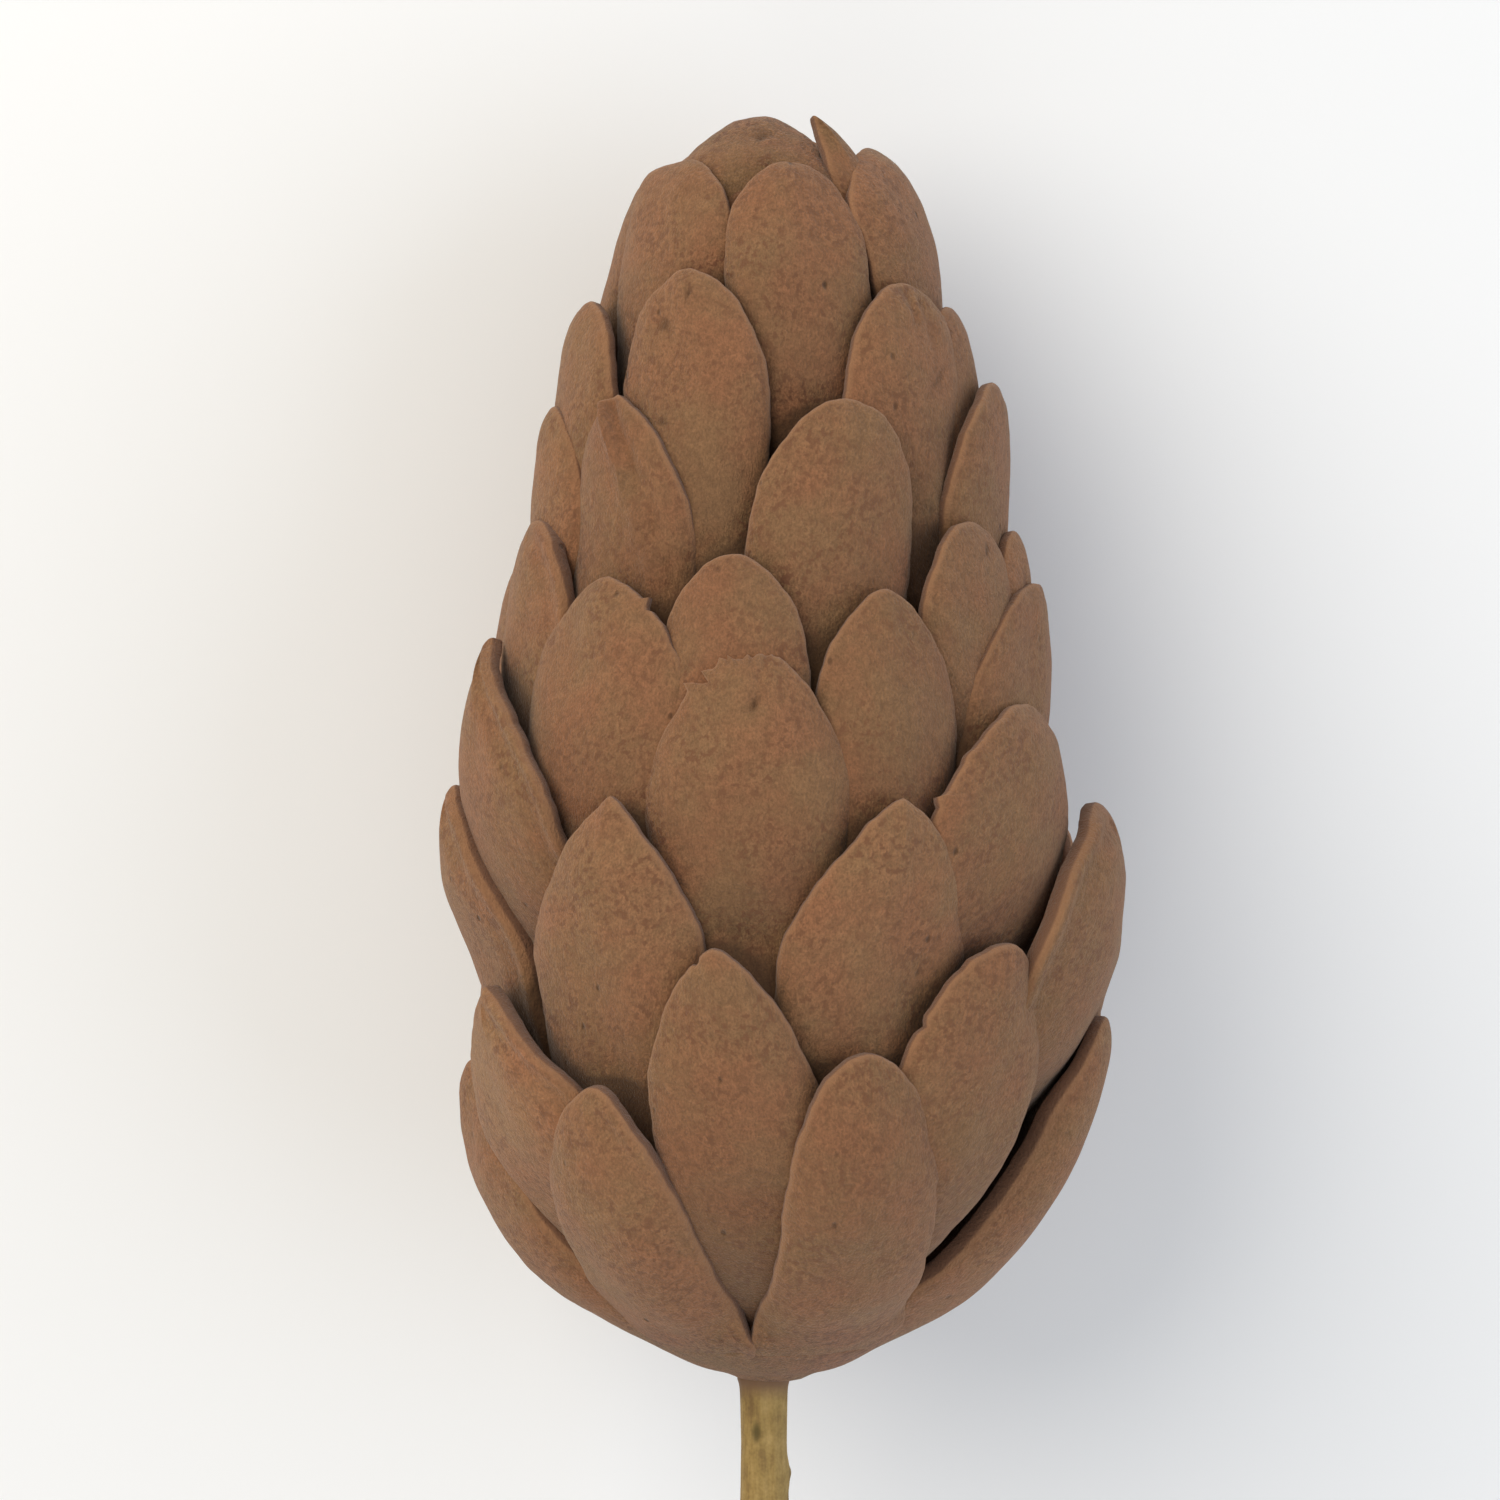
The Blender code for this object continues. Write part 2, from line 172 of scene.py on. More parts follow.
# %% The rows of scales
ROWS = [
    dict(name="a", length=33, shoulder=13, sink=0.0, pillow=(1.1, 1.5), hidden=3, back=(73, 280), front=[
        (-80, 22.6, 12.0, 0.2, 0.0, -0.7, 0.8), (-34, 21.5, 12.2, 0.4, -0.06, 0.2, 0.0),
        (16.5, 24.0, 12.0, 0.0, 0.08, 0.2, 0.0), (77.0, 26.0, 11.4, 0.2, 0.0, 1.4, -1.0)]),
    dict(name="b", length=35, shoulder=11, sink=0.055, dive=0.0, hidden=5, back=(60, 270), front=[
        (-62, 28.2, 16.0, 0.9, 0.33, 0.2, 0.0), (-10.5, 31.0, 13.6, 0.7, 0.10, -0.3, -0.3),
        (43.2, 31.3, 13.8, 0.2, -0.15, 0.3, 0.2)]),
    dict(name="c", length=32, shoulder=12, sink=0.13, hidden=4, back=(77, 276), front=[
        (-76, 42.2, 15.0, 0.9, 0.03, 0.6, 0.4), (-29.6, 41.6, 16.6, 1.0, -0.12, 0.0, 0.0),
        (23.5, 41.6, 16.4, 0.9, -0.10, 0.0, 0.0), (76.5, 41.0, 16.2, 0.5, -0.28, 0.65, 2.75)]),
    dict(name="d", length=30, shoulder=11, sink=0.13, hidden=4, back=(106, 290), front=[
        (-72, 52.4, 14.0, 1.3, 0.42, 1.3, 0.9), (-4.8, 52.9, 17.4, 1.0, 0.0, 0.0, 0.0),
        (55.8, 48.0, 17.8, 0.3, -0.30, 0.2, 0.7), (106, 50.0, 16.0, 0.3, 0.0, -1.8, 0.0)]),
    dict(name="e", length=28, shoulder=9, sink=0.13, hidden=5, back=(87.5, 300), front=[
        (-70, 60.8, 12.5, 0.2, 0.12, 0.6, 0.0), (-38, 56.7, 16.8, 0.7, -0.05, 0.2, 0.0),
        (-8.9, 58.1, 12.6, 0.2, 0.0, -0.2, 0.0), (24.5, 55.8, 12.6, 0.6, 0.0, 0.0, 0.0),
        (53, 60.6, 12.8, 0.1, 0.0, 0.0, 0.0), (73, 60.0, 9.5, 0.2, 0.0, 0.4, -0.4),
        (73, 56.3, 14.5, 0.3, -0.50, 0.9, -0.6)]),
    dict(name="f", length=26, shoulder=10, sink=0.13, hidden=5, back=(60, 290), front=[
        (-75, 68.7, 12.5, 0.2, 0.0, 0.6, 0.0), (-45.6, 69.3, 13.8, 0.7, 0.13, 0.0, 0.0),
        (19.2, 68.9, 14.6, 0.35, -0.12, 0.2, 0.0), (74, 70.2, 14.0, 0.2, -0.10, 1.4, -0.4)]),
    dict(name="g", length=25, shoulder=10, sink=0.13, hidden=4, back=(79, 271), front=[
        (-68, 76.0, 12.5, 0.1, -0.10, 0.6, 0.4), (-26.6, 78.0, 13.9, 0.35, 0.05, 0.2, 0.0),
        (44.2, 77.2, 13.4, 0.1, 0.0, 0.3, 0.1), (70, 76.0, 11.0, 0.2, 0.0, -0.1, 0.3)]),
    dict(name="h", length=24, shoulder=8, sink=0.13, hidden=5, back=(57, 299), front=[
        (-50, 86.3, 13.6, 0.0, 0.12, 0.3, 0.0), (10.5, 85.9, 13.2, 0.0, 0.0, 0.25, 0.2),
        (69, 87.2, 14.4, 0.5, 0.0, 0.5, 0.4), (28, 88.0, 7.6, 1.1, 0.50, 0.1, -0.3)]),
    dict(name="i", length=20, shoulder=7, sink=0.13, hidden=0, back=(68, 346), front=[
        (-14, 89.6, 17.0, 0.0, 0.0, 0.2, 0.0), (27, 87.7, 7.0, 0.5, 0.0, -0.9, 0.0),
        (165, 89.2, 14.0, 0.2, 0.0, -0.1, 0.0), (250, 88.4, 12.0, 0.2, 0.0, -0.4, 0.0)]),
]
PLACE_KEYS = ("turn", "tip_height", "width", "point", "lean", "stand_off", "swell")

# %% Spread the scales that the camera does not see
TURN_SPREAD = 3.0
TIP_HEIGHT_SPREAD = (-2.4, 0.2)
WIDTH_SPREAD = (0.94, 1.0)
POINT_SPREAD = (0.0, 0.7)
LEAN_SPREAD = 0.1
STAND_OFF_SPREAD = (0.0, 0.2)


def row_places(row, dice):
    """The listed scales of a row, then the ones round the back."""
    places = list(row["front"])
    first, last = row["back"]
    gap = (last - first) / (row["hidden"] + 1)
    tip_height = sum(place[1] for place in row["front"]) / len(row["front"])
    width = max(place[2] for place in row["front"])
    for k in range(row["hidden"]):
        turn = first + gap * (k + 1) + dice.uniform(-TURN_SPREAD, TURN_SPREAD)
        places.append((turn, tip_height + dice.uniform(*TIP_HEIGHT_SPREAD),
                       width * dice.uniform(*WIDTH_SPREAD), dice.uniform(*POINT_SPREAD),
                       dice.uniform(-LEAN_SPREAD, LEAN_SPREAD), dice.uniform(*STAND_OFF_SPREAD), 0.0))
    return places


print("scales listed one by one:", sum(len(row["front"]) for row in ROWS),
      "and round the back:", sum(row["hidden"] for row in ROWS))

# %% [markdown]
# ## What makes single scales different
#
# Some scales that face the camera are torn, notched, folded or scarred, and those marks are what the eye
# goes to. Each scale is named by its row and its number in the list. Places on an edge are millimetres
# from the tip along that edge, to the left if negative. Places on a face are across and below the tip.
#
# Marks:
# - `ragged`: from, to, how deep, how long a tooth is
# - `nicks`: place, depth (negative for a spike that stands out), width
# - `folds`: a ridge or groove from one place to another, with its height and width
# - `pits`: place, length, width, depth
# - `lips`: side, height of the turned-up edge, how far in its groove runs
# - `tone`: how much lighter or darker than its neighbours it is
#
# Form:
# - `rim`: how thick the edge is at the tip and lower down, where it is turned so that it shows
# - `shoulders`, `widest`, `root_width`, `blunt`: the outline, where it is not like the others of its row
# - `pillow`: how far its sides fall away, and how wide the rounding is
# - `tuck`, `tuck_from`: how far its lower part goes in, and between which places below the tip
# - `hook`, `straight_from`: how far the tip is bent sideways, and the height from where it stands up

# %% Torn, folded and scarred scales
CHARACTER = {
    "a0": dict(rim=(1.6, 1.6)),
    "a1": dict(tone=1.1, rim=(1.3, 1.3), lips=[(1, 0.25, 1.7)]),
    "a2": dict(rim=(1.3, 1.3)),
    "a3": dict(rim=(1.2, 1.4)),
    "b0": dict(tone=1.18, rim=(1.4, 1.0), lips=[(1, 0.45, 1.6)], tuck=3.0, tuck_from=(24.0, 31.0)),
    "b1": dict(nicks=[(-1.6, 0.4, 0.35)]),
    "b2": dict(root_width=0.75, ragged=[(-7.0, -1.5, 0.12, 0.8)], nicks=[(-8.4, 0.45, 0.35)]),
    "c0": dict(rim=(1.0, 1.9), lips=[(1, 0.5, 1.7)], tuck=1.0, tuck_from=(6.0, 13.0)),
    "c1": dict(tone=1.13),
    "c2": dict(tone=1.15, ragged=[(-9.5, -2.5, 0.15, 0.9)]),
    "c3": dict(shoulders=(9.0, 12.0), rim=(1.2, 1.4), lips=[(-1, 0.5, 1.8)]),
    "d0": dict(rim=(1.1, 1.0), lips=[(1, 0.6, 1.6)], ragged=[(1.0, 14.0, 0.15, 0.9)]),
    "d1": dict(blunt=1.6, ragged=[(-6.6, 2.6, 0.5, 0.5)],
               nicks=[(-1.9, -0.6, 0.25), (-4.9, 0.8, 0.3), (-5.7, -0.9, 0.3), (1.9, -0.3, 0.3)],
               folds=[(1.4, 0.9, 0.6, 5.4, -0.2, 0.3)], pits=[(0.5, 5.3, 0.5, 0.25, 0.2)]),
    "d2": dict(ragged=[(-11.0, -1.5, 0.2, 0.7)], nicks=[(-10.6, -0.7, 0.3)],
               pits=[(-3.3, 6.3, 0.4, 0.25, 0.12)]),
    "e0": dict(rim=(1.5, 1.0), lips=[(1, 0.4, 1.4)]),
    "e1": dict(ragged=[(3.4, 15.0, 0.18, 0.7)], nicks=[(4.0, -0.5, 0.22), (4.5, 0.3, 0.25)]),
    "e3": dict(tone=0.88),
    "e4": dict(pits=[(0.8, 2.2, 0.4, 0.25, 0.12)]),
    "f1": dict(folds=[(-1.0, 0.8, 4.2, 12.5, 0.7, 0.45), (-0.2, 0.8, 5.0, 12.5, -0.5, 0.5)]),
    "g1": dict(pits=[(0.3, 2.1, 0.5, 0.18, 0.1), (-1.6, 4.2, 0.6, 0.18, 0.1), (-1.7, 10.8, 0.5, 0.18, 0.1)]),
    "g2": dict(shoulders=(11.0, 9.0), pits=[(2.0, 7.0, 0.8, 0.3, 0.25)],
               folds=[(-0.2, 0.9, 0.3, 3.0, -0.3, 0.35), (1.2, 1.6, 1.9, 4.5, -0.25, 0.35)]),
    "h0": dict(shoulders=(3.5, 8.0),
               folds=[(1.2, 3.0, 1.6, 8.0, 0.2, 0.3), (2.2, 6.0, 2.3, 11.0, 0.18, 0.3)]),
    "h1": dict(shoulders=(9.0, 14.0)),
    "h2": dict(shoulders=(6.0, 8.0), pillow=(0.3, 1.0)),
    "h3": dict(shoulders=(12.0, 8.0), straight_from=82.0, hook=(-0.3, 1.5), pillow=(0.2, 0.8)),
    "h4": dict(tuck=1.0, tuck_from=(-2.0, -1.0)),
    "i0": dict(widest=0.95, shoulders=(7.0, 20.0), pits=[(0.6, 4.6, 0.6, 0.35, 0.2)], pillow=(0.2, 1.0)),
}
print("scales with marks or a form of their own:", len(CHARACTER))

# %% [markdown]
# ## The shape of one scale
#
# Seen flat, a scale opens from its tip in an arch to its shoulder and then tapers slowly to its root. It
# is made of sections: each joins the left edge to the right edge over the middle line, and comes back
# under the blade, so that a scale is one closed body. Near the tip the sections fan out, which lets the
# edge be rounded at right angles to the outline all the way round the tip.

# %% The points of a section
TOP_SHARES = (0.86, 0.72, 0.58, 0.44, 0.30, 0.18, 0.08)
EDGE_ANGLES = (90, 64, 40, 18)
UNDER_SHARES = (0.3, 0.7)


def section_columns():
    """One column for each point of a section: side, how far it is inset from the edge, in edge radii,
    share of the way on to the middle line, share of the top or underside rounding, whether below."""
    top = [(1.0, inner, 0.0, False) for inner in TOP_SHARES]
    angles = [math.radians(angle) for angle in EDGE_ANGLES]
    top += [(1.0 - math.cos(angle), 0.0, 1.0 - math.sin(angle), False) for angle in angles]
    under = [(0.0, 0.0, 1.0, True), (0.35, 0.0, 0.35, True), (1.0, 0.0, 0.0, True)]
    under += [(1.0, inner, 0.0, True) for inner in UNDER_SHARES]
    right = [(1.0, *column) for column in top + under]
    left = [(-1.0, *column) for column in reversed(top + under)]
    return np.array([(0.0, 1.0, 1.0, 0.0, False)] + right + [(0.0, 1.0, 1.0, 0.0, True)] + left, float)


COLUMNS = section_columns()
SIDE, INSET, INNER, DROP, UNDER = COLUMNS.T
print("points in a section:", len(COLUMNS))

# %% How wide a scale is
ROUND_TIP = 2.0
POINT_ALONG = 0.5
POINT_ACROSS = 0.85


def half_width_share(below_tip, shoulder, point):
    """Half width at a distance below the tip, as a share of the widest. A point of 0 is a round tip."""
    start = 1.0 - np.minimum(below_tip / shoulder, 1.0)
    return (1.0 - start ** (ROUND_TIP - POINT_ALONG * point)) ** (1.0 / (ROUND_TIP - POINT_ACROSS * point))


print("share of the width 3 mm below a round and a pointed tip:",
      [round(float(half_width_share(3.0, 11.0, point)), 2) for point in (0.0, 1.0)])

# %% [markdown]
# ## Uneven, as grown things are
#
# A leaf is never flat, and its edge is never a clean curve. Slow waves of several lengths, with seeded
# directions, bend the face by a few tenths of a millimetre. Torn edges get teeth instead: straight runs
# between random depths, which read as fibre that has snapped.

# %% Waves for the face
FACE_WAVES = [(11.0, 0.15), (7.0, 0.10), (4.2, 0.045), (2.3, 0.02), (1.2, 0.012)]
WAVES_PER_LENGTH = 4
WAVE_LENGTH_SPREAD = (0.8, 1.25)
WAVES_DRAWN_OUT = 0.6


def face_waves(across, along, dice):
    """Slow unevenness of a face, in mm."""
    height = np.zeros_like(across)
    for wavelength, size in FACE_WAVES:
        for _ in range(WAVES_PER_LENGTH):
            heading = dice.uniform(0.0, math.tau)
            phase = dice.uniform(0.0, math.tau)
            length = wavelength * dice.uniform(*WAVE_LENGTH_SPREAD)
            travel = across * math.cos(heading) + WAVES_DRAWN_OUT * along * math.sin(heading)
            height += size / math.sqrt(WAVES_PER_LENGTH) * np.sin(math.tau * travel / length + phase)
    return height


print("waves that bend a face, in mm:", [wavelength for wavelength, _ in FACE_WAVES])

# %% Waves and teeth for the edge
EDGE_WAVES = [(5.5, 0.06), (2.4, 0.03), (1.1, 0.014)]
TOOTH_SPREAD = (0.5, 1.5)
TOOTH_DEPTHS = (-1.0, 0.6)


def edge_waves(walked, dice):
    """Slow unevenness of an outline, in mm, along the distance walked on it."""
    moved = np.zeros_like(walked)
    for wavelength, size in EDGE_WAVES:
        moved += size * np.sin(math.tau * walked / wavelength + dice.uniform(0.0, math.tau))
    return moved


def torn_edge(walked, start, stop, depth, tooth, dice):
    """Teeth between two places on an outline."""
    count = int((stop - start) / tooth) + 2
    places = np.cumsum([dice.uniform(*TOOTH_SPREAD) * tooth for _ in range(count)])
    places = start + (places - places[0]) * (stop - start) / (places[-1] - places[0])
    depths = [0.0] + [dice.uniform(*TOOTH_DEPTHS) * depth for _ in range(count - 2)] + [0.0]
    return np.interp(walked, places, depths, left=0.0, right=0.0)


# %% [markdown]
# ## Drawing a scale flat
#
# A scale is carried from step to step in one bundle of named values, which each step adds to. The first
# steps draw it flat: the sections, closer together towards the tip, then the outline of each side with
# its waves, teeth and nicks, and last where every point of every section lies on the flat scale.

# %% The sections of one scale
# No root starts nearer the stem than this, in mm along the outline
LOWEST_ROOT = 1.5
# A power above 1 brings the sections closer together towards the tip
SECTIONS_CROWD = 1.35
# How far below the tip the first sections of the fan meet the middle line
FAN_LENGTH = 3.2


def start_scale(row, place, name, sections):
    """What is known of a scale before it is drawn, and its sections as distances below the tip."""
    scale = SimpleNamespace(row=row, name=name, marks=CHARACTER.get(name, {}), **dict(zip(PLACE_KEYS, place)))
    scale.tip = float(np.interp(scale.tip_height, HEIGHTS, WALKED))
    scale.length = min(row["length"], scale.tip - LOWEST_ROOT)
    scale.edge_below = scale.length * (np.arange(sections) / (sections - 1)) ** SECTIONS_CROWD
    scale.middle_below = scale.edge_below + FAN_LENGTH * (1.0 - scale.edge_below / scale.length) ** 2
    return scale


first_scale = start_scale(ROWS[0], ROWS[0]["front"][0], "a0", 5)
print("five sections of the first scale, in mm below its tip:", first_scale.edge_below.round(1))

# %% The outline of one scale
ROOT_WIDTH_SHARE = 0.95
# A scale is never wider than this share of the head's radius, to which a little is added for the tip
WIDEST_FOR_RADIUS = 0.62
RADIUS_ALLOWANCE = 1.5
# The two sides meet at one tip, and are led there over this length
TIP_BLEND = 0.8


def edge_shift(scale, signed, dice):
    """How far the edge is moved out of its clean curve, in mm."""
    shift = edge_waves(signed, dice)
    for start, stop, depth, tooth in scale.marks.get("ragged", []):
        shift += torn_edge(signed, start, stop, depth, tooth, random.Random(scale.name))
    for spot, depth, width in scale.marks.get("nicks", []):
        shift -= depth * np.exp(-((signed - spot) / width) ** 2)
    return shift


def draw_outline(scale, dice):
    """Adds half width, reach from the edge to the middle line and shift of the edge, for every point."""
    shoulder = scale.row["shoulder"]
    radius = np.interp(scale.tip - scale.edge_below, WALKED, RADII)
    widest = scale.marks.get("widest", WIDEST_FOR_RADIUS) * (radius + RADIUS_ALLOWANCE)
    root_width = scale.marks.get("root_width", ROOT_WIDTH_SHARE) if scale.row["sink"] > 0.0 else 1.0
    halves, reaches, shifts = [], [], []
    for side, own_shoulder in zip((-1.0, 1.0), scale.marks.get("shoulders", (shoulder, shoulder))):
        past = np.maximum(0.0, (scale.edge_below - own_shoulder) / max(scale.length - own_shoulder, 1.0))
        opened = half_width_share(scale.edge_below, own_shoulder, scale.point)
        half = np.minimum(0.5 * scale.width * opened * (1.0 - (1.0 - root_width) * past), widest)
        walked = np.concatenate([[0.0], np.cumsum(np.hypot(np.diff(half), np.diff(scale.edge_below)))])
        halves.append(half)
        reaches.append(np.hypot(half, scale.middle_below - scale.edge_below))
        shifts.append(edge_shift(scale, side * walked, dice))
    blend = np.exp(-walked / TIP_BLEND)
    off_tip = 0.5 * (shifts[1][0] - shifts[0][0])
    shifts = [shifts[0] + off_tip * blend, shifts[1] - off_tip * blend]
    scale.half, scale.reach, scale.shift = (
        np.where(SIDE < 0.0, left[:, None], right[:, None]) for left, right in (halves, reaches, shifts))


# %% Where each point lies on the flat scale
EDGE_RADIUS = 0.32


def place_points(scale):
    """Adds how far each point is from the edge, across, below the tip, and up the head."""
    inset = EDGE_RADIUS * INSET
    scale.from_edge = inset + INNER * (scale.reach - inset)
    scale.share_in = np.clip(scale.from_edge / scale.reach, 0.0, 1.0)
    outwards = 1.0 + scale.shift * (1.0 - scale.share_in) / scale.reach
    scale.across = SIDE * scale.half * (1.0 - scale.share_in) * outwards
    edge_line = np.maximum(scale.edge_below, scale.marks.get("blunt", 0.0))
    to_edge = (edge_line - scale.middle_below)[:, None]
    scale.below = scale.middle_below[:, None] + to_edge * (1.0 - scale.share_in) * outwards
    scale.walked_up = scale.tip - scale.below


# %% [markdown]
# ## The face of a scale
#
# The height of the face comes from a few plain causes added together: the tip stands off, the middle
# swells, the blade sinks towards its root under the row below, and its sides fall away a little. Some
# rims are turned up. At the very base the scales melt into one smooth skin. Waves, folds and pits come
# last. A pair of numbers is the two places, in mm, between which a cause comes in.

# %% Bend the face
FUSED_UP_TO = (8.5, 12.5)
SINK_SHARE = 1.4
SINK_LIMIT = 22.0
SCALE_CROWN = 0.45
TIP_PILLOW = 0.35
SIDE_PILLOW = 0.8
PILLOW_WIDTH = 1.1
PILLOW_GROWS = (1.0, 8.0)


def smooth_step(value, start, stop):
    """Goes from 0 to 1 between two values, without a corner."""
    share = np.clip((value - start) / (stop - start), 0.0, 1.0)
    return share * share * (3.0 - 2.0 * share)


def bend_face(scale):
    """Height of the face over the outline, in mm."""
    row, marks, below = scale.row, scale.marks, scale.below
    bared = np.clip(below / (2.0 * row["shoulder"]), 0.0, 1.0)
    top = scale.stand_off * (1.0 - bared ** 2) + scale.swell * np.sin(math.pi * bared)
    free = smooth_step(scale.walked_up, *FUSED_UP_TO)
    sunk = SINK_SHARE * row["sink"] * np.clip(below, 0.0, SINK_LIMIT)
    top -= sunk + free * SCALE_CROWN * (1.0 - scale.share_in) ** 2
    pillow, pillow_width = marks.get("pillow", row.get("pillow", (SIDE_PILLOW, PILLOW_WIDTH)))
    tip_pillow = min(TIP_PILLOW, pillow)
    pillow = tip_pillow + (pillow - tip_pillow) * smooth_step(below, *PILLOW_GROWS)
    return top - free * pillow * np.exp(-scale.from_edge / pillow_width)


print("after a quarter and a half of the way, a smooth step is at", smooth_step(np.array([0.25, 0.5]), 0, 1))

# %% Turn the rim and sink the root
LIP_FROM_EDGE = 0.45
LIP_WIDTH = 0.5
GROOVE_SHARE = 0.6
GROOVE_WIDTH = 0.6
LIP_STARTS = (0.3, 2.5)
ROOT_DIVE = 2.2
ROOT_DIVE_LENGTH = 3.5


def turn_rim(scale, top):
    """Adds lips along the edge, and sinks the root."""
    for side, height, inside in scale.marks.get("lips", []):
        ridge = height * np.exp(-((scale.from_edge - LIP_FROM_EDGE) / LIP_WIDTH) ** 2)
        groove = GROOVE_SHARE * height * np.exp(-((scale.from_edge - inside) / GROOVE_WIDTH) ** 2)
        top += (ridge - groove) * (SIDE == side) * smooth_step(scale.below, *LIP_STARTS)
    root = smooth_step(scale.below, scale.length - ROOT_DIVE_LENGTH, scale.length)
    top -= scale.row.get("dive", ROOT_DIVE) * root * (scale.row["sink"] > 0.0)
    top -= scale.marks.get("tuck", 0.0) * smooth_step(scale.below, *scale.marks.get("tuck_from", (0.0, 1.0)))


print("scales with a turned-up lip:", [name for name, marks in CHARACTER.items() if "lips" in marks])

# %% Melt the base and curl the tip
MELTED_LIFT = -0.05
MELTED_BELOW = (5.0, 11.5)
MELTED_STEP = 1.5
BASE_DIVE = 2.5
BASE_DIVE_BELOW = (4.0, 7.5)
TIP_CURL = 0.15
TIP_CURL_LENGTH = 6.0


def melt_base(scale, top):
    """Leads the roots of the first row into one skin, and those of the other rows under it. Curls the tip."""
    melted_lift = MELTED_LIFT - MELTED_STEP * (scale.row["sink"] > 0.0)
    top += (melted_lift - top) * smooth_step(-scale.walked_up, -MELTED_BELOW[1], -MELTED_BELOW[0])
    top -= BASE_DIVE * smooth_step(-scale.walked_up, -BASE_DIVE_BELOW[1], -BASE_DIVE_BELOW[0])
    top -= TIP_CURL * np.maximum(0.0, 1.0 - np.maximum(scale.below, 0.0) / TIP_CURL_LENGTH) ** 2


# %% Waves, folds and pits
CALM_ROOT_LENGTH = 8.0
CALM_UP_TO = (7.0, 14.0)
PIT_SLANT = 0.2
PIT_RUN = 0.4
PIT_STAIN = 0.75


def distance_to_line(across, along, line):
    """Distance from points to a short line on a face."""
    x0, y0, x1, y1 = line
    run = (x1 - x0) ** 2 + (y1 - y0) ** 2
    share = np.clip(((across - x0) * (x1 - x0) + (along - y0) * (y1 - y0)) / run, 0.0, 1.0)
    return np.hypot(across - x0 - share * (x1 - x0), along - y0 - share * (y1 - y0))


def mark_face(scale, top, dice):
    """Adds waves, folds and pits, and gives how dark the pits are."""
    across, below = scale.across, scale.below
    uneven = np.clip((scale.length - below) / CALM_ROOT_LENGTH, 0.0, 1.0)
    uneven = uneven * smooth_step(scale.walked_up, *CALM_UP_TO)
    top += face_waves(across, below, dice) * uneven
    for *line, height, spread in scale.marks.get("folds", []):
        top += height * np.exp(-(distance_to_line(across, below, line) / spread) ** 2)
    stain = np.zeros_like(top)
    for x, y, long, wide, depth in scale.marks.get("pits", []):
        line = (x - PIT_SLANT * long, y + PIT_RUN * long, x + PIT_SLANT * long, y - PIT_RUN * long)
        hollow = np.exp(-(distance_to_line(across, below, line) / wide) ** 2)
        top -= depth * hollow
        stain = np.maximum(stain, PIT_STAIN * hollow)
    return stain


print("folds and pits that are shaped:",
      sum(len(marks.get("folds", [])) + len(marks.get("pits", [])) for marks in CHARACTER.values()))

# %% [markdown]
# ## Closing a scale into a body
#
# The face is the upper skin. The under skin lies one blade thickness below it and drops away towards the
# middle, where nobody sees it, which saves a second surface just under the first. The flat places and a
# few numbers go with the points, because the finish is drawn from them.

# %% Wrap one scale, with what its finish needs to know
BLADE_THICKNESS = 0.95
RIM_GROWS = (1.5, 7.0)
ROOT_DEPTH = 3.4
UNDER_DROP_LENGTH = 6.0
ABOVE_HEAD = 1000.0
RUB_AND_HIGHLIGHT_RIM = 0.9
WALL_FROM = (0.25, 0.8)


def wrap_scale(scale, top):
    """Points on the upright head. The edge is rounded and the under skin drops away inwards."""
    marks, below = scale.marks, scale.below
    rim_at_tip, rim_below = marks.get("rim", (BLADE_THICKNESS, BLADE_THICKNESS))
    thickness = rim_at_tip + (rim_below - rim_at_tip) * smooth_step(below, *RIM_GROWS)
    edge_drop = EDGE_RADIUS * DROP
    under_depth = ROOT_DEPTH * np.clip(below / UNDER_DROP_LENGTH, 0.0, 1.0) ** 2 * INNER
    scale.lift = np.where(UNDER > 0.0, top - thickness + edge_drop - under_depth, top - edge_drop)
    hook, hook_length = marks.get("hook", (0.0, 1.0))
    leaned = scale.across + scale.lean * below + hook * np.exp(-np.maximum(below, 0.0) / hook_length)
    straight_from = np.interp(marks.get("straight_from", ABOVE_HEAD), HEIGHTS, WALKED)
    return on_head(math.radians(scale.turn), scale.walked_up, leaned, scale.lift, straight_from)


def make_scale(row, place, name, sections, dice):
    """Points in mm on the upright head, quads and triangles, and the finish values of each point."""
    scale = start_scale(row, place, name, sections)
    draw_outline(scale, dice)
    place_points(scale)
    top = bend_face(scale)
    turn_rim(scale, top)
    melt_base(scale, top)
    stain = mark_face(scale, top, dice)
    points = wrap_scale(scale, top)
    # The paler rim is partly rubbed nap and partly a painted highlight along the edge.
    rim = np.clip(1.0 - scale.from_edge / RUB_AND_HIGHLIGHT_RIM, 0.0, 1.0)
    # Painted shade that grows towards the root, where the neighbouring scales overlap this one.
    rootward = np.clip(scale.below / scale.length, 0.0, 1.0) * (row["sink"] > 0.0)
    # The thin wall of the edge is partly the scale's darker inner skin and partly painted shade in the gap
    # beside it.
    wall = np.where(UNDER > 0.0, 1.0, smooth_step(DROP, *WALL_FROM)) * np.ones_like(top)
    flat = np.stack([scale.across, scale.below, scale.lift], axis=-1)
    return weave(points, dict(flat=flat, rim=rim, rootward=rootward, stain=stain, wall=wall))


# %% Join points into closed bodies
def quads_between(number):
    """Faces between each section of numbered points and the next, all the way round."""
    here, there = number[:-1], number[1:]
    return np.stack([here, np.roll(here, -1, 1), np.roll(there, -1, 1), there], axis=-1).reshape(-1, 4)


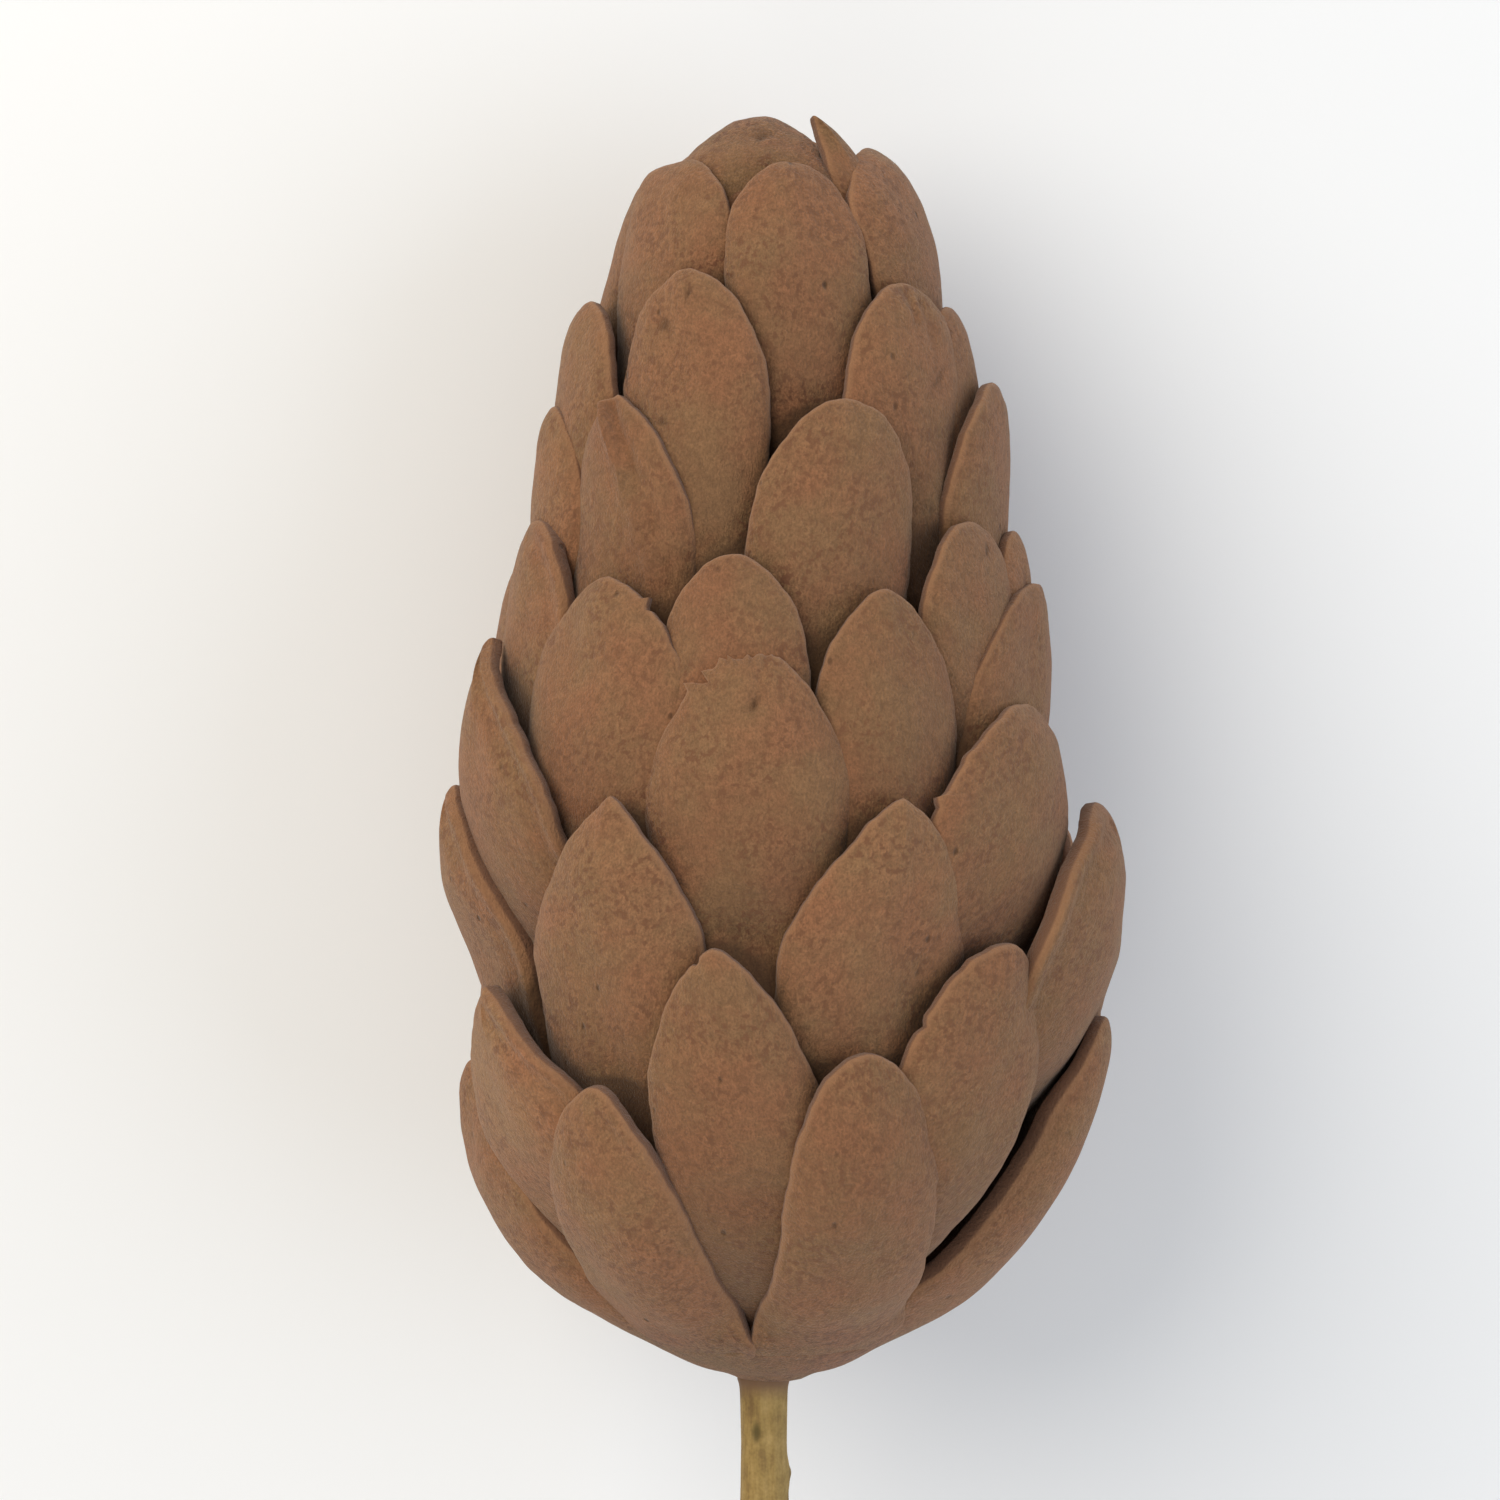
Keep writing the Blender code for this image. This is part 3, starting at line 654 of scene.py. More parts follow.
def weave(points, finish_values):
    """Joins the sections of a scale. The two halves of the first section are the same points."""
    sections, columns = points.shape[:2]
    number = np.arange(sections * columns).reshape(sections, columns)
    for column in range(columns // 2 + 1, columns):
        number[0, column] = number[0, columns - column]
    quads = quads_between(number)
    last, centre = number[-1], sections * columns
    fans = np.stack([last, np.roll(last, -1), np.full(columns, centre)], axis=-1)
    used = np.unique(np.concatenate([quads.ravel(), fans.ravel()]))
    renumber = np.zeros(centre + 1, int)
    renumber[used] = np.arange(len(used))
    values = {}
    for key, array in dict(finish_values, points=points).items():
        rows = array.reshape(centre, -1)
        values[key] = np.vstack([rows, array[-1].reshape(columns, -1).mean(axis=0)[None]])[used]
    return values.pop("points"), renumber[quads], renumber[fans], values


def join_rings(points):
    """Joins rings into a closed tube, with a point in the middle of each end."""
    rings, sides = points.shape[:2]
    number = np.arange(rings * sides).reshape(rings, sides)
    first, last, count = number[0], number[-1], rings * sides
    fans = np.vstack([np.stack([np.roll(first, -1), first, np.full(sides, count)], axis=-1),
                      np.stack([last, np.roll(last, -1), np.full(sides, count + 1)], axis=-1)])
    ends = np.array([points[0].mean(axis=0), points[-1].mean(axis=0)])
    return np.vstack([points.reshape(-1, 3), ends]), quads_between(number), fans


# %% [markdown]
# ## From points to Blender meshes
#
# Each row of scales becomes one mesh. Next to its points it carries a few numbers that the finish reads:
# where on its own scale a point is, how near the edge, how far towards the root, whether it is on the
# thin wall of the edge, how dark a pit is there, and the scale's own tone. A finish that is drawn in
# these places keeps to the scale, whichever way the scale faces.

# %% Turn arrays into a mesh, and give it to the frame
def signed_volume(points, quads):
    """Positive where the faces of a closed body face out."""
    a, b, c, d = (points[quads[:, k]] for k in range(4))
    return float(sum((a * np.cross(one, other)).sum() for one, other in ((b, c), (c, d))))


def add_piece(name, node, bodies, finish):
    """Makes one object of several closed bodies, each as points in mm, quads, fans and finish values."""
    all_points, all_faces, all_values, start = [], [], {}, 0
    for points, quads, fans, values in bodies:
        faces = [quads, fans]
        if signed_volume(points, quads) < 0.0:
            faces = [face[:, ::-1] for face in faces]
        for face in faces:
            all_faces.extend((face + start).tolist())
        all_points.append(points)
        for key, array in values.items():
            all_values.setdefault(key, []).append(array)
        start += len(points)
    mesh = bpy.data.meshes.new(name)
    mesh.from_pydata(to_world(np.vstack(all_points)).tolist(), [], all_faces)
    mesh.polygons.foreach_set("use_smooth", np.ones(len(mesh.polygons), bool))
    for key, arrays in all_values.items():
        stacked = np.vstack(arrays)
        kind, field = ("FLOAT_VECTOR", "vector") if stacked.shape[1] == 3 else ("FLOAT", "value")
        mesh.attributes.new(key, kind, "POINT").data.foreach_set(field, stacked.ravel())
    mesh.update()
    mesh.materials.append(finish)
    piece = bpy.data.objects.new(name, mesh)
    bpy.context.scene.collection.objects.link(piece)
    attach(piece, "root")
    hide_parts(node)
    print(name, "has", len(bodies), "bodies and", len(mesh.polygons), "faces")


# %% [markdown]
# ## Small tools for finishes
#
# Colours are written as the hex values that a screen would show, so one function turns them into the
# linear values that a shader needs. Another adds a node, sets it and links it in one line.

# %% Colours and nodes
def linear(hex_colour):
    """An sRGB hex value as linear red, green, blue and alpha."""
    channels = [int(hex_colour[i:i + 2], 16) / 255.0 for i in (1, 3, 5)]
    return (*[c / 12.92 if c <= 0.04045 else ((c + 0.055) / 1.055) ** 2.4 for c in channels], 1.0)


def set_inputs(node, inputs):
    """Sets each named input to a value, or links it to a socket or to the first output of a node."""
    for key, value in inputs.items():
        if isinstance(value, bpy.types.Node):
            value = next(output for output in value.outputs if output.enabled)
        if isinstance(value, bpy.types.NodeSocket):
            node.id_data.links.new(value, node.inputs[key])
        else:
            node.inputs[key].default_value = value


def add_node(tree, kind, inputs=None, **settings):
    """Adds a node with its settings, and sets or links its inputs."""
    node = tree.nodes.new(kind)
    for key, value in settings.items():
        setattr(node, key, value)
    set_inputs(node, inputs or {})
    return node


def set_ramp(ramp_node, stops):
    """Sets the stops of a colour ramp, each a place and a hex colour."""
    elements = ramp_node.color_ramp.elements
    while len(elements) > 1:
        elements.remove(elements[-1])
    elements[0].position, elements[0].color = stops[0][0], linear(stops[0][1])
    for place, colour in stops[1:]:
        elements.new(place).color = linear(colour)


print("a mid grey, #808080, is linear", round(linear("#808080")[0], 3))


# %% Start a finish
def start_finish(name, keys):
    """A material, its shader, the flat places and the numbers that the mesh carries under these keys."""
    finish = bpy.data.materials.new(name)
    finish.use_nodes = True
    tree = finish.node_tree
    flat = add_node(tree, "ShaderNodeAttribute", attribute_name="flat").outputs["Vector"]
    carried = [add_node(tree, "ShaderNodeAttribute", attribute_name=key).outputs["Fac"] for key in keys]
    return finish, tree, tree.nodes["Principled BSDF"], flat, carried


# %% [markdown]
# ## Felt: the skin of the scales
#
# Under a lens the scales carry a dense nap of short dead hairs, like a fine suede. It has no gloss at
# all. The colour drifts between a reddish and an olive brown over a few millimetres, with a faint grain
# along the scale. The texture is read in each scale's own flat places, so its sizes are true
# millimetres. A single hair, about 0.02 mm thick, would not show, so the nap is drawn as tufts of
# 0.16 mm.

# %% The nap and its colour
PATCH_MM = 6.0
GRAIN_MM = 0.6
NAP_MM = 0.16


def nap_colour(tree, flat, tone, reddish, olive):
    """Drifting brown under grain and nap. Gives the colour, the places along the scale and both noises."""
    patches = add_node(tree, "ShaderNodeTexNoise", {"Vector": flat, "Scale": 1 / PATCH_MM, "Detail": 4.0,
                                                     "Roughness": 0.6})
    base = add_node(tree, "ShaderNodeValToRGB", {"Fac": patches})
    set_ramp(base, [(0.38, olive), (0.62, reddish)])
    lengthwise = add_node(tree, "ShaderNodeMapping", {"Vector": flat, "Scale": (1.0, 0.7, 1.0)})
    grain = add_node(tree, "ShaderNodeTexNoise", {"Vector": lengthwise, "Scale": 1 / GRAIN_MM, "Detail": 4.0,
                                                   "Roughness": 0.7})
    nap = add_node(tree, "ShaderNodeTexNoise", {"Vector": lengthwise, "Scale": 1 / NAP_MM, "Detail": 2.0,
                                                 "Roughness": 0.7})
    grain_light = add_node(tree, "ShaderNodeMapRange", {"Value": grain, "From Min": 0.35, "From Max": 0.65,
                                                        "To Min": 0.79, "To Max": 1.21})
    nap_light = add_node(tree, "ShaderNodeMapRange", {"Value": nap, "From Min": 0.35, "From Max": 0.65,
                                                      "To Min": 0.72, "To Max": 1.28})
    light = add_node(tree, "ShaderNodeMath", {0: grain_light, 1: nap_light}, operation="MULTIPLY")
    toned = add_node(tree, "ShaderNodeMath", {0: light, 1: tone}, operation="MULTIPLY")
    lit = add_node(tree, "ShaderNodeVectorMath", {0: base, "Scale": toned}, operation="SCALE")
    return lit, lengthwise, grain, nap


# %% [markdown]
# Age adds russet specks of half a millimetre that gather in areas. On top come a paler edge, partly rubbed
# nap and partly a painted highlight; a darker brown on the thin wall of a turned rim, partly its own inner
# skin and partly painted shade; and painted shade, a dark brown, in hollows between scales and towards the
# root. Each is a mix of the colour below it with one more brown.

# %% Specks, and painted highlight and shade on rims, walls, hollows and roots
SPECK_MM = 0.5
SPECK_AREA_MM = 4.5


def worn_colour(tree, flat, colour, rim, rootward, painted_occlusion, wall, russet, pale, deep, inner):
    """The colour with specks, a paler edge that is rubbed nap and painted highlight, a wall tint that is
    partly painted shade, and painted shade in hollows and towards the root, where each number that the mesh
    carries says so.
    """
    speck_noise = add_node(tree, "ShaderNodeTexNoise", {"Vector": flat, "Scale": 1 / SPECK_MM, "Detail": 2.0,
                                                         "Roughness": 0.5})
    speck_area = add_node(tree, "ShaderNodeTexNoise", {"Vector": flat, "Scale": 1 / SPECK_AREA_MM,
                                                       "Detail": 2.0})
    shares = [add_node(tree, "ShaderNodeMapRange", {"Value": value, "From Min": low, "From Max": high,
                                                    "To Min": 0.0, "To Max": most})
              for value, low, high, most in ((speck_noise, 0.52, 0.62, 0.85), (speck_area, 0.38, 0.56, 1.0),
                                             (painted_occlusion, 0.0, -0.5, 0.25), (rim, 0.5, 0.9, 0.55),
                                             (wall, 0.1, 1.0, 0.7), (rootward, 0.3, 0.75, 0.3),
                                             (painted_occlusion, 0.05, 0.8, 0.8))]
    speck, area, proud_rub_and_highlight_share, edge_share, wall_tint_and_shade_share, root_shade_share, painted_shade_share = shares
    specks = add_node(tree, "ShaderNodeMath", {0: speck, 1: area}, operation="MULTIPLY")
    # A paler edge on proud places and rims: rubbed nap and a painted highlight.
    rub_and_highlight = add_node(tree, "ShaderNodeMath", {0: proud_rub_and_highlight_share, 1: edge_share}, operation="ADD")
    # Painted shade: the darker of the shade towards the root and the shade in hollows.
    shaded = add_node(tree, "ShaderNodeMath", {0: root_shade_share, 1: painted_shade_share}, operation="MAXIMUM")
    for share, brown in ((specks, russet), (rub_and_highlight, pale), (wall_tint_and_shade_share, inner), (shaded, deep)):
        colour = add_node(tree, "ShaderNodeMix", {"Factor": share, "A": colour, "B": linear(brown)},
                          data_type="RGBA")
    return colour


# %% [markdown]
# Insects and frost have left small dark pits, about two millimetres apart, of which only some are deep
# enough to see. They are the middles of a cell pattern, and a random value of each cell picks which ones
# show. Nap and pits also roughen the surface, so that it scatters light as suede does. Dead plant hair
# bends light as cellulose does, with an IOR of about 1.5. As a mat of fibres it starts from a roughness
# of 1, with hardly any gloss, and a little sheen is matched to the hair ends that catch the light.

# %% The felt material
PLANT_FIBRE_IOR = 1.5
PIT_GAP_MM = 1.9
BUMP_DISTANCE = 0.0002


def felt_material(name, reddish, olive, russet, pale, deep, inner):
    """Felt in six browns: two that drift, and those of specks, of the pale edge with its painted highlight,
    of painted shade and pits, and of walls, partly painted shade.
    """
    keys = ("rim", "rootward", "stain", "tone", "painted_occlusion", "wall")
    finish, tree, shader, flat, (rim, rootward, stain, tone, painted_occlusion, wall) = start_finish(name, keys)
    lit, lengthwise, grain, nap = nap_colour(tree, flat, tone, reddish, olive)
    worn = worn_colour(tree, flat, lit, rim, rootward, painted_occlusion, wall, russet, pale, deep, inner)
    cells = add_node(tree, "ShaderNodeTexVoronoi", {"Vector": lengthwise, "Scale": 1 / PIT_GAP_MM,
                                                     "Randomness": 1.0})
    pit_core = add_node(tree, "ShaderNodeMapRange", {"Value": cells.outputs["Distance"], "From Min": 0.06,
                                                     "From Max": 0.13, "To Min": 1.0, "To Max": 0.0})
    chosen = add_node(tree, "ShaderNodeSeparateColor", {"Color": cells.outputs["Color"]})
    pit_pick = add_node(tree, "ShaderNodeMapRange", {"Value": chosen, "From Min": 0.55, "From Max": 0.95,
                                                     "To Min": 0.0, "To Max": 0.8})
    pits = add_node(tree, "ShaderNodeMath", {0: pit_core, 1: pit_pick}, operation="MULTIPLY")
    marks = add_node(tree, "ShaderNodeMath", {0: pits, 1: stain}, operation="MAXIMUM")
    marked = add_node(tree, "ShaderNodeMix", {"Factor": marks, "A": worn, "B": linear(deep)},
                      data_type="RGBA")
    height = add_node(tree, "ShaderNodeMath", {0: grain, 1: nap}, operation="ADD")
    pitted = add_node(tree, "ShaderNodeMath", {0: height, 1: pits}, operation="SUBTRACT")
    bump = add_node(tree, "ShaderNodeBump", {"Height": pitted, "Strength": 0.8, "Distance": BUMP_DISTANCE})
    set_inputs(shader, {"Base Color": marked, "Normal": bump, "Metallic": 0.0, "IOR": PLANT_FIBRE_IOR,
                        "Roughness": 0.95, "Specular IOR Level": 0.15, "Sheen Weight": 0.3,
                        "Sheen Roughness": 0.5, "Sheen Tint": linear("#D9CBBE")})
    return finish


# pale is rubbed nap with a painted highlight, deep is painted shade and the brown of pits, and inner is the
# wall's own brown darkened as painted shade.
FELT = felt_material("felted scale skin", reddish="#81563A", olive="#7A5B3D", russet="#623D29",
                     pale="#9D7352", deep="#45301F", inner="#5A3E33")
print(FELT.name, "has", len(FELT.node_tree.nodes), "nodes")

# %% [markdown]
# ## Painted shade in hollows and a paler edge on proud places
#
# Places that lie deep between scales get a painted shade, and edges that stand proud are made paler, partly
# as rubbed nap and partly as a painted highlight. So each point is compared with how far the head stands out
# round it on average. The head is first drawn as a map, unrolled round its axis, of how far out its surface
# lies.

# %% The unrolled map
MAP_COLUMNS = 720
MAP_STEP = 0.25
MAP_FROM = -2.0
MAP_ROWS = 380


def map_places(points):
    """Row and column on the unrolled map, and how far out each point lies."""
    turn = np.arctan2(points[:, 0], points[:, 2]) % math.tau
    column = (turn / math.tau * MAP_COLUMNS).astype(int) % MAP_COLUMNS
    row = np.clip(((points[:, 1] - MAP_FROM) / MAP_STEP).astype(int), 0, MAP_ROWS - 1)
    return row, column, np.hypot(points[:, 0], points[:, 2])


def blurred(heights, width, radii):
    """Mean over a window of one width in mm both ways, whatever the radius of the row."""
    down = max(1, int(round(width / MAP_STEP)))
    padded = np.vstack([heights[:1]] * down + [heights] + [heights[-1:]] * down)
    run = np.vstack([np.zeros((1, heights.shape[1])), np.cumsum(padded, axis=0)])
    heights = (run[2 * down + 1:] - run[:-2 * down - 1]) / (2 * down + 1)
    out = np.empty_like(heights)
    for k, radius in enumerate(radii):
        wide = int(np.clip(width / (math.tau * max(radius, 1.0) / MAP_COLUMNS), 1, MAP_COLUMNS // 3))
        ring = np.concatenate([heights[k, -wide:], heights[k], heights[k, :wide]])
        run = np.concatenate([[0.0], np.cumsum(ring)])
        out[k] = (run[2 * wide + 1:] - run[:-2 * wide - 1]) / (2 * wide + 1)
    return out


print("the map is", MAP_ROWS, "by", MAP_COLUMNS, "cells, each", MAP_STEP, "mm high")

# %% How deep each point lies among its neighbours
OCCLUSION_WIDTHS = (1.2, 2.8)
DEEPEST_OCCLUSION = 1.0
TIMES_FILLED = 6
NONE_AT_BASE = (3.0, 9.0)
NONE_AT_TIP = (84.0, 88.0)


def shelter_of(bodies):
    """Adds to each body how deep its points lie among their neighbours, from -1 for proud to 1 for deep,
    which the felt turns into painted shade and a paler edge.
    """
    heights = np.zeros((MAP_ROWS, MAP_COLUMNS))
    for points, _, _, _ in bodies:
        row, column, out = map_places(points)
        np.maximum.at(heights, (row, column), out)
    for _ in range(TIMES_FILLED):
        empty = heights == 0.0
        around = [np.roll(heights, shift, axis) for shift, axis in ((1, 0), (-1, 0), (1, 1), (-1, 1))]
        heights[empty] = np.max(around, axis=0)[empty]
    radii = heights.mean(axis=1)
    means = [blurred(blurred(heights, width, radii), width, radii) for width in OCCLUSION_WIDTHS]
    for points, _, _, values in bodies:
        row, column, out = map_places(points)
        depth = sum(mean[row, column] for mean in means) / len(means) - out
        depth *= smooth_step(points[:, 1], *NONE_AT_BASE)
        depth *= smooth_step(-points[:, 1], -NONE_AT_TIP[1], -NONE_AT_TIP[0])
        # Positive values paint shade in hollows, negative ones a paler edge that is partly a painted
        # highlight.
        values["painted_occlusion"] = np.clip(depth / DEEPEST_OCCLUSION, -1.0, 1.0)[:, None]
    return len(bodies)


# %% [markdown]
# ## The rows of scales
#
# The rows are built from the stem up. Scales that face the camera get more sections than those behind,
# because their edges carry the fine detail. Every scale draws its own tone, a few per cent either way,
# and its flat places are set apart from its neighbours', so that no two have the same pattern.

# %% Build the rows
FRONT_SECTIONS = 96
BACK_SECTIONS = 60
PLACES_SEED = 2
LOOKS_SEED = 7
TONE_SPREAD = 0.06
ONE_TONE_BELOW = (2.5, 8.0)
FLAT_APART = 23.0
ROWS_APART = 11.0
FIRST_ROW_AT = 7
NAMES_OF_PARTS = {"a": "base_scales", "b": "lower_scales_1", "c": "lower_scales_2", "d": "middle_scales_1",
                  "e": "middle_scales_2", "f": "upper_scales_1", "g": "upper_scales_2", "h": "crown_scales_1",
                  "i": "crown_scales_2"}


def build_rows():
    """All scales, row by row, each with its own tone."""
    dice = random.Random(PLACES_SEED)
    looks = random.Random(LOOKS_SEED)
    built = {}
    for number, row in enumerate(ROWS, FIRST_ROW_AT):
        bodies = built.setdefault(NAMES_OF_PARTS[row["name"]], [])
        for k, place in enumerate(row_places(row, dice)):
            name = row["name"] + str(k)
            sections = FRONT_SECTIONS if k < len(row["front"]) else BACK_SECTIONS
            points, quads, fans, values = make_scale(row, place, name, sections, looks)
            values["flat"][:, 0] += FLAT_APART * k
            values["flat"][:, 2] += ROWS_APART * number
            own_tone = CHARACTER.get(name, {}).get("tone", 1.0)
            own_tone *= 1.0 + looks.uniform(-TONE_SPREAD, TONE_SPREAD)
            values["tone"] = 1.0 + (own_tone - 1.0) * smooth_step(points[:, 1:2], *ONE_TONE_BELOW)
            bodies.append((points, quads, fans, values))
    return built


scales = build_rows()
print("scales built:", sum(len(bodies) for bodies in scales.values()))

# %% [markdown]
# ## The core
#
# The scales grow from a woody core. It shows only at the bottom of the gaps, where its brown is darkened as
# painted shade, and at the very base, where it comes out to meet the stem and the lowest scales melt into it.
# The outline turned round the axis gives it, sunk by a depth that changes with height.

# %% Turn the outline round the axis
CORE_BELOW_OUTLINE = 6.0
CORE_FUSED_LIFT = -0.02
CORE_SINKS_FROM = (8.6, 12.6)
CORE_RISES_FROM = (72.0, 84.0)
CORE_BELOW_TIP = 1.8
CORE_SIDES = 96
CORE_SECTIONS = 120
CORE_CROWDS = 1.3
CORE_THINNEST = 0.2
CORE_FLAT_AT = 270.0
CORE_SKIN_BELOW = (3.0, 6.0)


def make_core():
    """The core as one closed body, fused with the scales at the base and deep between them above."""
    walked = WALKED[-1] * (np.arange(1, CORE_SECTIONS) / CORE_SECTIONS) ** CORE_CROWDS
    radius, height, out_sideways, out_up = (
        np.interp(walked, WALKED, curve) for curve in (RADII, HEIGHTS, OUT_SIDEWAYS, OUT_UP))
    deep = CORE_BELOW_OUTLINE + (CORE_BELOW_TIP - CORE_BELOW_OUTLINE) * smooth_step(height, *CORE_RISES_FROM)
    sunk = -CORE_FUSED_LIFT + (deep + CORE_FUSED_LIFT) * smooth_step(walked, *CORE_SINKS_FROM)
    radius = np.maximum(radius - out_sideways * sunk, CORE_THINNEST)
    height = height - out_up * sunk
    turns = np.arange(CORE_SIDES) * math.tau / CORE_SIDES
    rings = np.stack([radius[:, None] * np.sin(turns) + sway(height)[:, None], height[:, None] + 0.0 * turns,
                      radius[:, None] * np.cos(turns)], axis=-1)
    points, quads, fans = join_rings(rings)
    skin = smooth_step(-points[:, 1:2], -CORE_SKIN_BELOW[1], -CORE_SKIN_BELOW[0])
    plain = np.ones((len(points), 1))
    # rootward is 1 above the skin of the base, which darkens the core as painted shade in the gaps.
    return points, quads, fans, dict(flat=points + (0.0, 0.0, CORE_FLAT_AT), rim=0.0 * plain,
                                     rootward=1.0 - skin, stain=0.0 * plain, wall=0.0 * plain, tone=plain)


scales["core"] = [make_core()]
every_body = [body for bodies in scales.values() for body in bodies]
print("sheltered places worked out on", shelter_of(every_body), "bodies")
for name, bodies in scales.items():
    add_piece(name, "cone", bodies, FELT)

# %% [markdown]
# ## The stem
#
# The twig is a little thicker where a leaf once sat, and each such place keeps a scar. At its top it
# swells into the head and takes on its brown. It was cut, so its end shows pale wood. The twig is a
# stack of rings along a slightly bent line, and ridges, scars and the cut are worked into the rings.

# %% The rings of the stem
STEM_DIAMETER = 3.3
STEM_LENGTH = 31.93
STEM_OFFSET = -0.6
STEM_GAP = 0.3
STEM_INTO_HEAD = 1.2
# Share of the length, sideways shift, shift towards the upper side (mm) and share of the diameter
STEM_COURSE = np.array([
    (0.0, 0.0, 0.0, 1.02), (0.13, 0.02, 0.03, 0.98), (0.27, 0.05, 0.05, 1.05), (0.42, 0.10, 0.02, 0.98),
    (0.58, 0.20, -0.05, 0.97), (0.72, 0.34, -0.12, 1.06), (0.86, 0.42, -0.20, 0.98), (1.0, 0.46, -0.26, 1.0),
])
STEM_SIDES = 64
STEM_SECTIONS = 260
STEM_FLARE = 0.18
STEM_FLARE_LENGTH = 0.35
STEM_SEED = 11
# How many ridges go round, and how high they are in mm
STEM_RIDGES = [(3, 0.035), (5, 0.03), (8, 0.02), (13, 0.012)]
RIDGE_TWIST = 0.03
# Leaf scars: millimetres below the head, turn in degrees, length, width, depth of the dent, height of its lip
LEAF_SCARS = [(3.6, -18.0, 0.7, 0.33, 0.16, 0.05), (6.6, 96.0, 0.8, 0.55, -0.28, 0.05),
              (12.5, 200.0, 0.9, 0.4, 0.15, 0.08), (18.4, -60.0, 0.9, 0.4, 0.15, 0.08),
              (24.0, 70.0, 0.9, 0.4, 0.15, 0.08)]
SCAR_STEEPNESS = 1.5
SCAR_LIP_AT = 1.2
SCAR_LIP_WIDTH = 0.4
STAIN_OF_SWELLING = 0.35


def stem_rings():
    """Middle line of the stem, the radius of every point round it, and how dark the scars are."""
    down = np.linspace(-STEM_INTO_HEAD, STEM_GAP + STEM_LENGTH, STEM_SECTIONS)
    share = np.clip((down - STEM_GAP) / STEM_LENGTH, 0.0, 1.0)
    sideways, upwards, thickness = (np.interp(share, STEM_COURSE[:, 0], STEM_COURSE[:, k]) for k in (1, 2, 3))
    turns = np.arange(STEM_SIDES) * math.tau / STEM_SIDES
    radius = 0.5 * STEM_DIAMETER * thickness[:, None] * np.ones(STEM_SIDES)
    radius = radius + STEM_FLARE * np.exp(-np.maximum(down, 0.0) / STEM_FLARE_LENGTH)[:, None]
    dice = random.Random(STEM_SEED)
    for count, size in STEM_RIDGES:
        twist = dice.uniform(-RIDGE_TWIST, RIDGE_TWIST)
        phase = dice.uniform(0.0, math.tau)
        radius = radius + size * np.sin(count * turns[None, :] + twist * count * down[:, None] + phase)
    stain = np.zeros_like(radius)
    for place, turn, long, wide, dent, lip in LEAF_SCARS:
        round_the_stem = (turns[None, :] - math.radians(turn) + math.pi) % math.tau - math.pi
        apart = np.hypot((down[:, None] - place) / long, round_the_stem * 0.5 * STEM_DIAMETER / wide)
        radius = radius - dent * np.exp(-apart ** 2 * SCAR_STEEPNESS)
        radius = radius + lip * np.exp(-((apart - SCAR_LIP_AT) / SCAR_LIP_WIDTH) ** 2)
        stain = np.maximum(stain, np.exp(-apart ** 4) * (1.0 if dent > 0 else STAIN_OF_SWELLING))
    return np.stack([STEM_OFFSET + sideways, -down, upwards], axis=-1), turns, radius, stain


# %% Build the stem
# Rings of the cut end: share of the radius, how far past the end in mm, how much of it is bare wood
CUT_RINGS = [(0.93, 0.03, 0.5), (0.8, 0.06, 1.0), (0.6, 0.06, 1.0), (0.4, 0.06, 1.0), (0.2, 0.06, 1.0)]
BROWN_FROM = 0.2
BROWN_LENGTH = 1.2


def make_stem():
    """The stem as one closed body, with how near the head, how bare and how stained each point is."""
    line, turns, radius, stain = stem_rings()
    rings = line[:, None] + np.stack([radius * np.sin(turns), 0.0 * radius, radius * np.cos(turns)], axis=-1)
    cut_rings = []
    for share, past, _ in CUT_RINGS:
        cut_rings.append(line[-1] + (rings[-1] - line[-1]) * share - (0.0, past, 0.0))
    points, quads, fans = join_rings(np.concatenate([rings, cut_rings]))
    total = len(rings) + len(cut_rings)
    flat = np.zeros((len(points), 3))
    flat[:-2, 0] = np.cos(np.tile(turns, total)) * 0.5 * STEM_DIAMETER
    flat[:-2, 1] = points[:-2, 1]
    flat[:-2, 2] = np.sin(np.tile(turns, total)) * 0.5 * STEM_DIAMETER
    near_head = np.clip(1.0 - (-points[:, 1:2] - BROWN_FROM) / BROWN_LENGTH, 0.0, 1.0)
    cut = np.zeros((len(points), 1))
    cut[stain.size:-2, 0] = np.repeat([bare for _, _, bare in CUT_RINGS], STEM_SIDES)
    cut[-1, 0] = 1.0
    stain = np.concatenate([stain.ravel(), np.zeros(len(points) - stain.size)])[:, None]
    return points, quads, fans, dict(flat=flat, near_head=near_head, cut=cut, stain=stain)


# %% [markdown]
# ## Bark: the skin of the twig
#
# Young bark, dried to khaki, is smooth with a faint lengthwise streak. Scars and dirt are olive brown,
# and the top of the twig takes the brown of the head. The streaks are stretched eight to one. Dry bark
# has the same IOR as the felt and a dull, waxy skin, so it is rough but not as dead, with a low gloss.

# %% The bark material
STREAK_MM = 0.5
CLOUD_MM = 1.6
SPECKLE_MM = 0.2
BARK_BUMP = 0.00015


